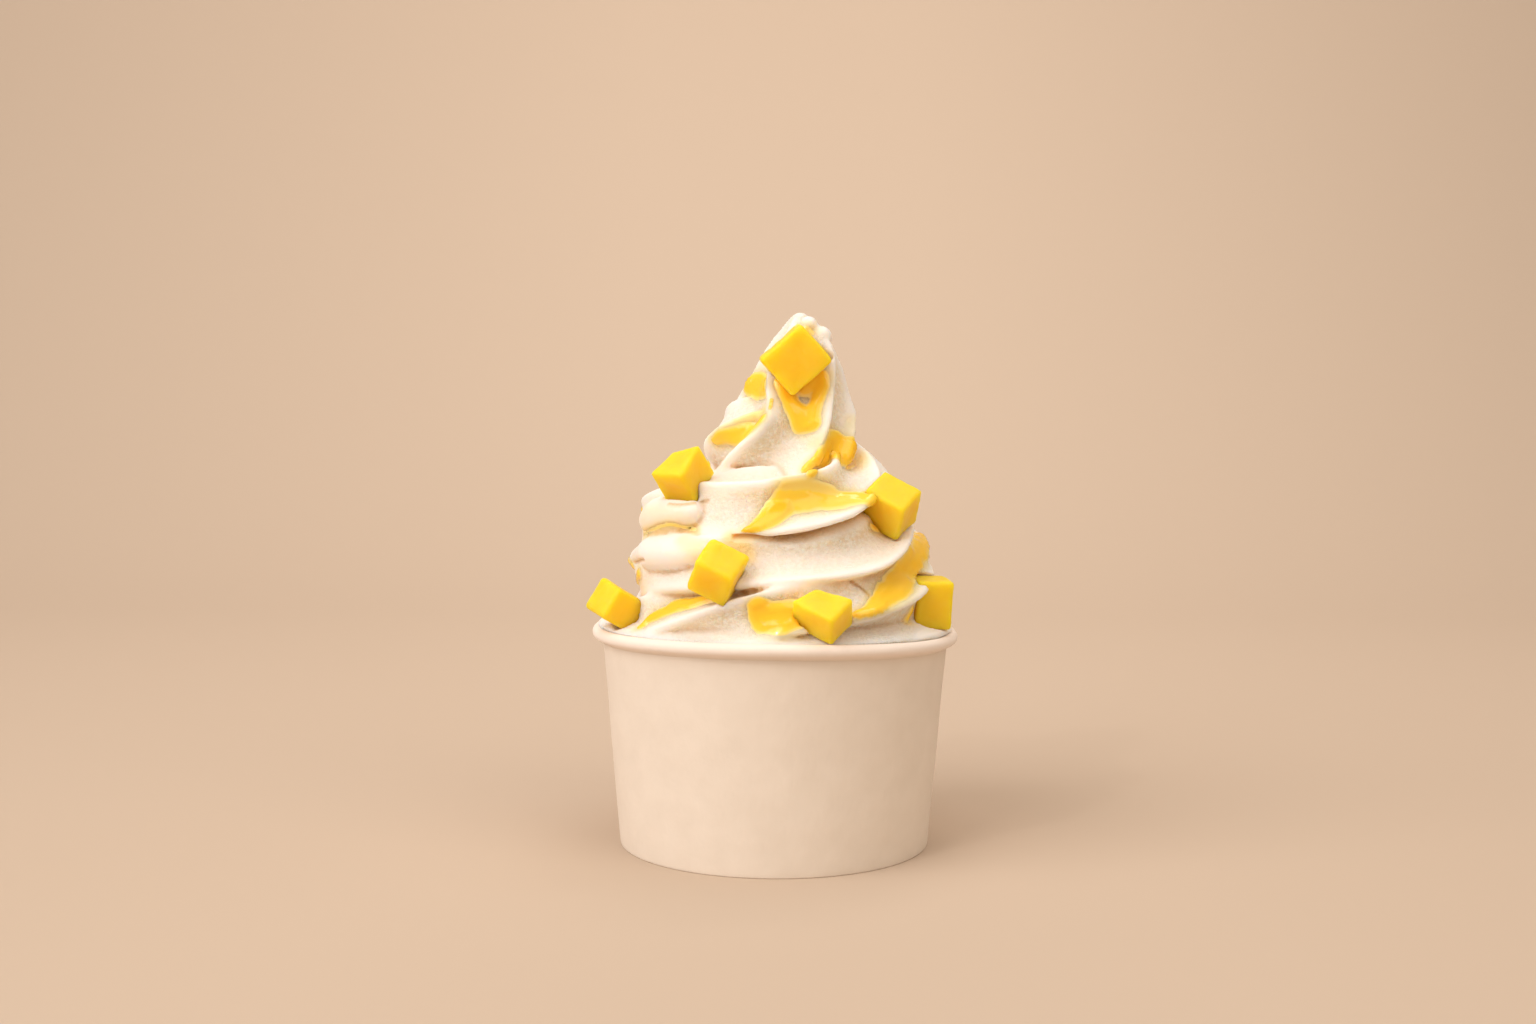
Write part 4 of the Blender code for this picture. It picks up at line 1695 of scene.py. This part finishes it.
# The key from the left front, a soft top light, a small glint, a weak fill and a glow on the backdrop.
LIGHTS = (
    SoftLight("key", (-1.55, -1.2, 1.45), (0, 0, 0.07), 2.1, 45.0, (1.0, 0.965, 0.93)),
    SoftLight("top", (0.2, -0.1, 1.9), (0, 0, 0.05), 1.6, 12.5, (1.0, 0.96, 0.91)),
    SoftLight("glint", (-0.55, -0.75, 0.8), (0, 0, 0.09), 0.04, 1.0, (1.0, 0.97, 0.93)),
    SoftLight("fill", (1.3, -1.3, 1.5), (0, 0, 0.07), 1.5, 12.0, (1.0, 0.90, 0.78)),
    SoftLight("backdrop", (0.12, 0.3, 0.75), (0.05, 0.88, 0.22), 0.3, 1.2, (1.0, 0.96, 0.92)),
)


@dataclass
class Studio:
    """The seamless sweep, the soft lights and the camera."""

    camera_distance: float = 0.5294
    camera_height: float = 0.1326
    camera_pitch: float = 0.0839
    camera_yaw: float = -0.0039
    camera_roll: float = 0.0057
    focal_length: float = 46.97
    sensor_width: float = 36.0
    clip_start: float = 0.01
    sweep_front: float = -2.0
    sweep_depth: float = 0.45
    sweep_bend: float = 0.65
    sweep_height: float = 3.0
    sweep_width: float = 5.0
    room_colour: Colour = (1.0, 0.87, 0.72)
    room_strength: float = 0.43

    def build_sweep(self, finish: bpy.types.Material) -> None:
        """Makes a floor that curves up into the backdrop.

        Args:
            finish: The studio's material.
        """
        profile = [(self.sweep_front, 0.0)]
        profile += arc(self.sweep_depth, self.sweep_bend, self.sweep_bend, (-90, 0), 19)
        profile.append((self.sweep_depth + self.sweep_bend, self.sweep_height))
        half = self.sweep_width / 2
        vertices = np.array([(side * half, y, z) for y, z in profile for side in (-1, 1)])
        faces = [(2 * i, 2 * i + 1, 2 * i + 3, 2 * i + 2) for i in range(len(profile) - 1)]
        sweep = new_mesh_object("studio_sweep", vertices, faces)
        shade_smooth(sweep)
        sweep.data.materials.append(finish)

    def light_room(self) -> None:
        """Hangs the lights and fills the room with a warm glow."""
        for light in LIGHTS:
            light.hang()
        world = bpy.data.worlds.new("room")
        world.use_nodes = True
        background = world.node_tree.nodes["Background"]
        background.inputs["Color"].default_value = (*self.room_colour, 1.0)
        background.inputs["Strength"].default_value = self.room_strength
        bpy.context.scene.world = world

    def build_camera(self) -> None:
        """Stands the camera in front of the cup, a little above it and looking slightly down."""
        lens = bpy.data.cameras.new("camera")
        lens.sensor_width = self.sensor_width
        lens.lens = self.focal_length
        lens.clip_start = self.clip_start
        camera = bpy.data.objects.new("camera", lens)
        bpy.context.scene.collection.objects.link(camera)
        aim = Matrix.Rotation(-self.camera_yaw, 4, "Z")
        aim = aim @ Matrix.Rotation(math.pi / 2 - self.camera_pitch, 4, "X")
        aim = aim @ Matrix.Rotation(self.camera_roll, 4, "Z")
        camera.matrix_world = Matrix.Translation((0, -self.camera_distance, self.camera_height)) @ aim
        bpy.context.scene.camera = camera

    def build(self) -> None:
        """Builds the whole studio."""
        self.build_sweep(StudioFinish().material())
        self.light_room()
        self.build_camera()
        bpy.context.scene.view_settings.view_transform = "Standard"


def main() -> None:
    """Builds the cup, the yogurt, the cubes, the sauce and the studio."""
    logging.basicConfig(level=logging.INFO, format="%(name)s %(message)s")
    cup = PaperCup()
    cup.build(PaperFinish().material())
    cubes = MangoCubes()
    swirl, calm = YogurtSwirl(cup).build(YogurtFinish().material(), cubes.solids())
    MangoSauce().build(swirl, calm, SauceFinish().material())
    cubes.build(MangoFinish().material())
    Studio().build()


if __name__ == "__main__":
    main()
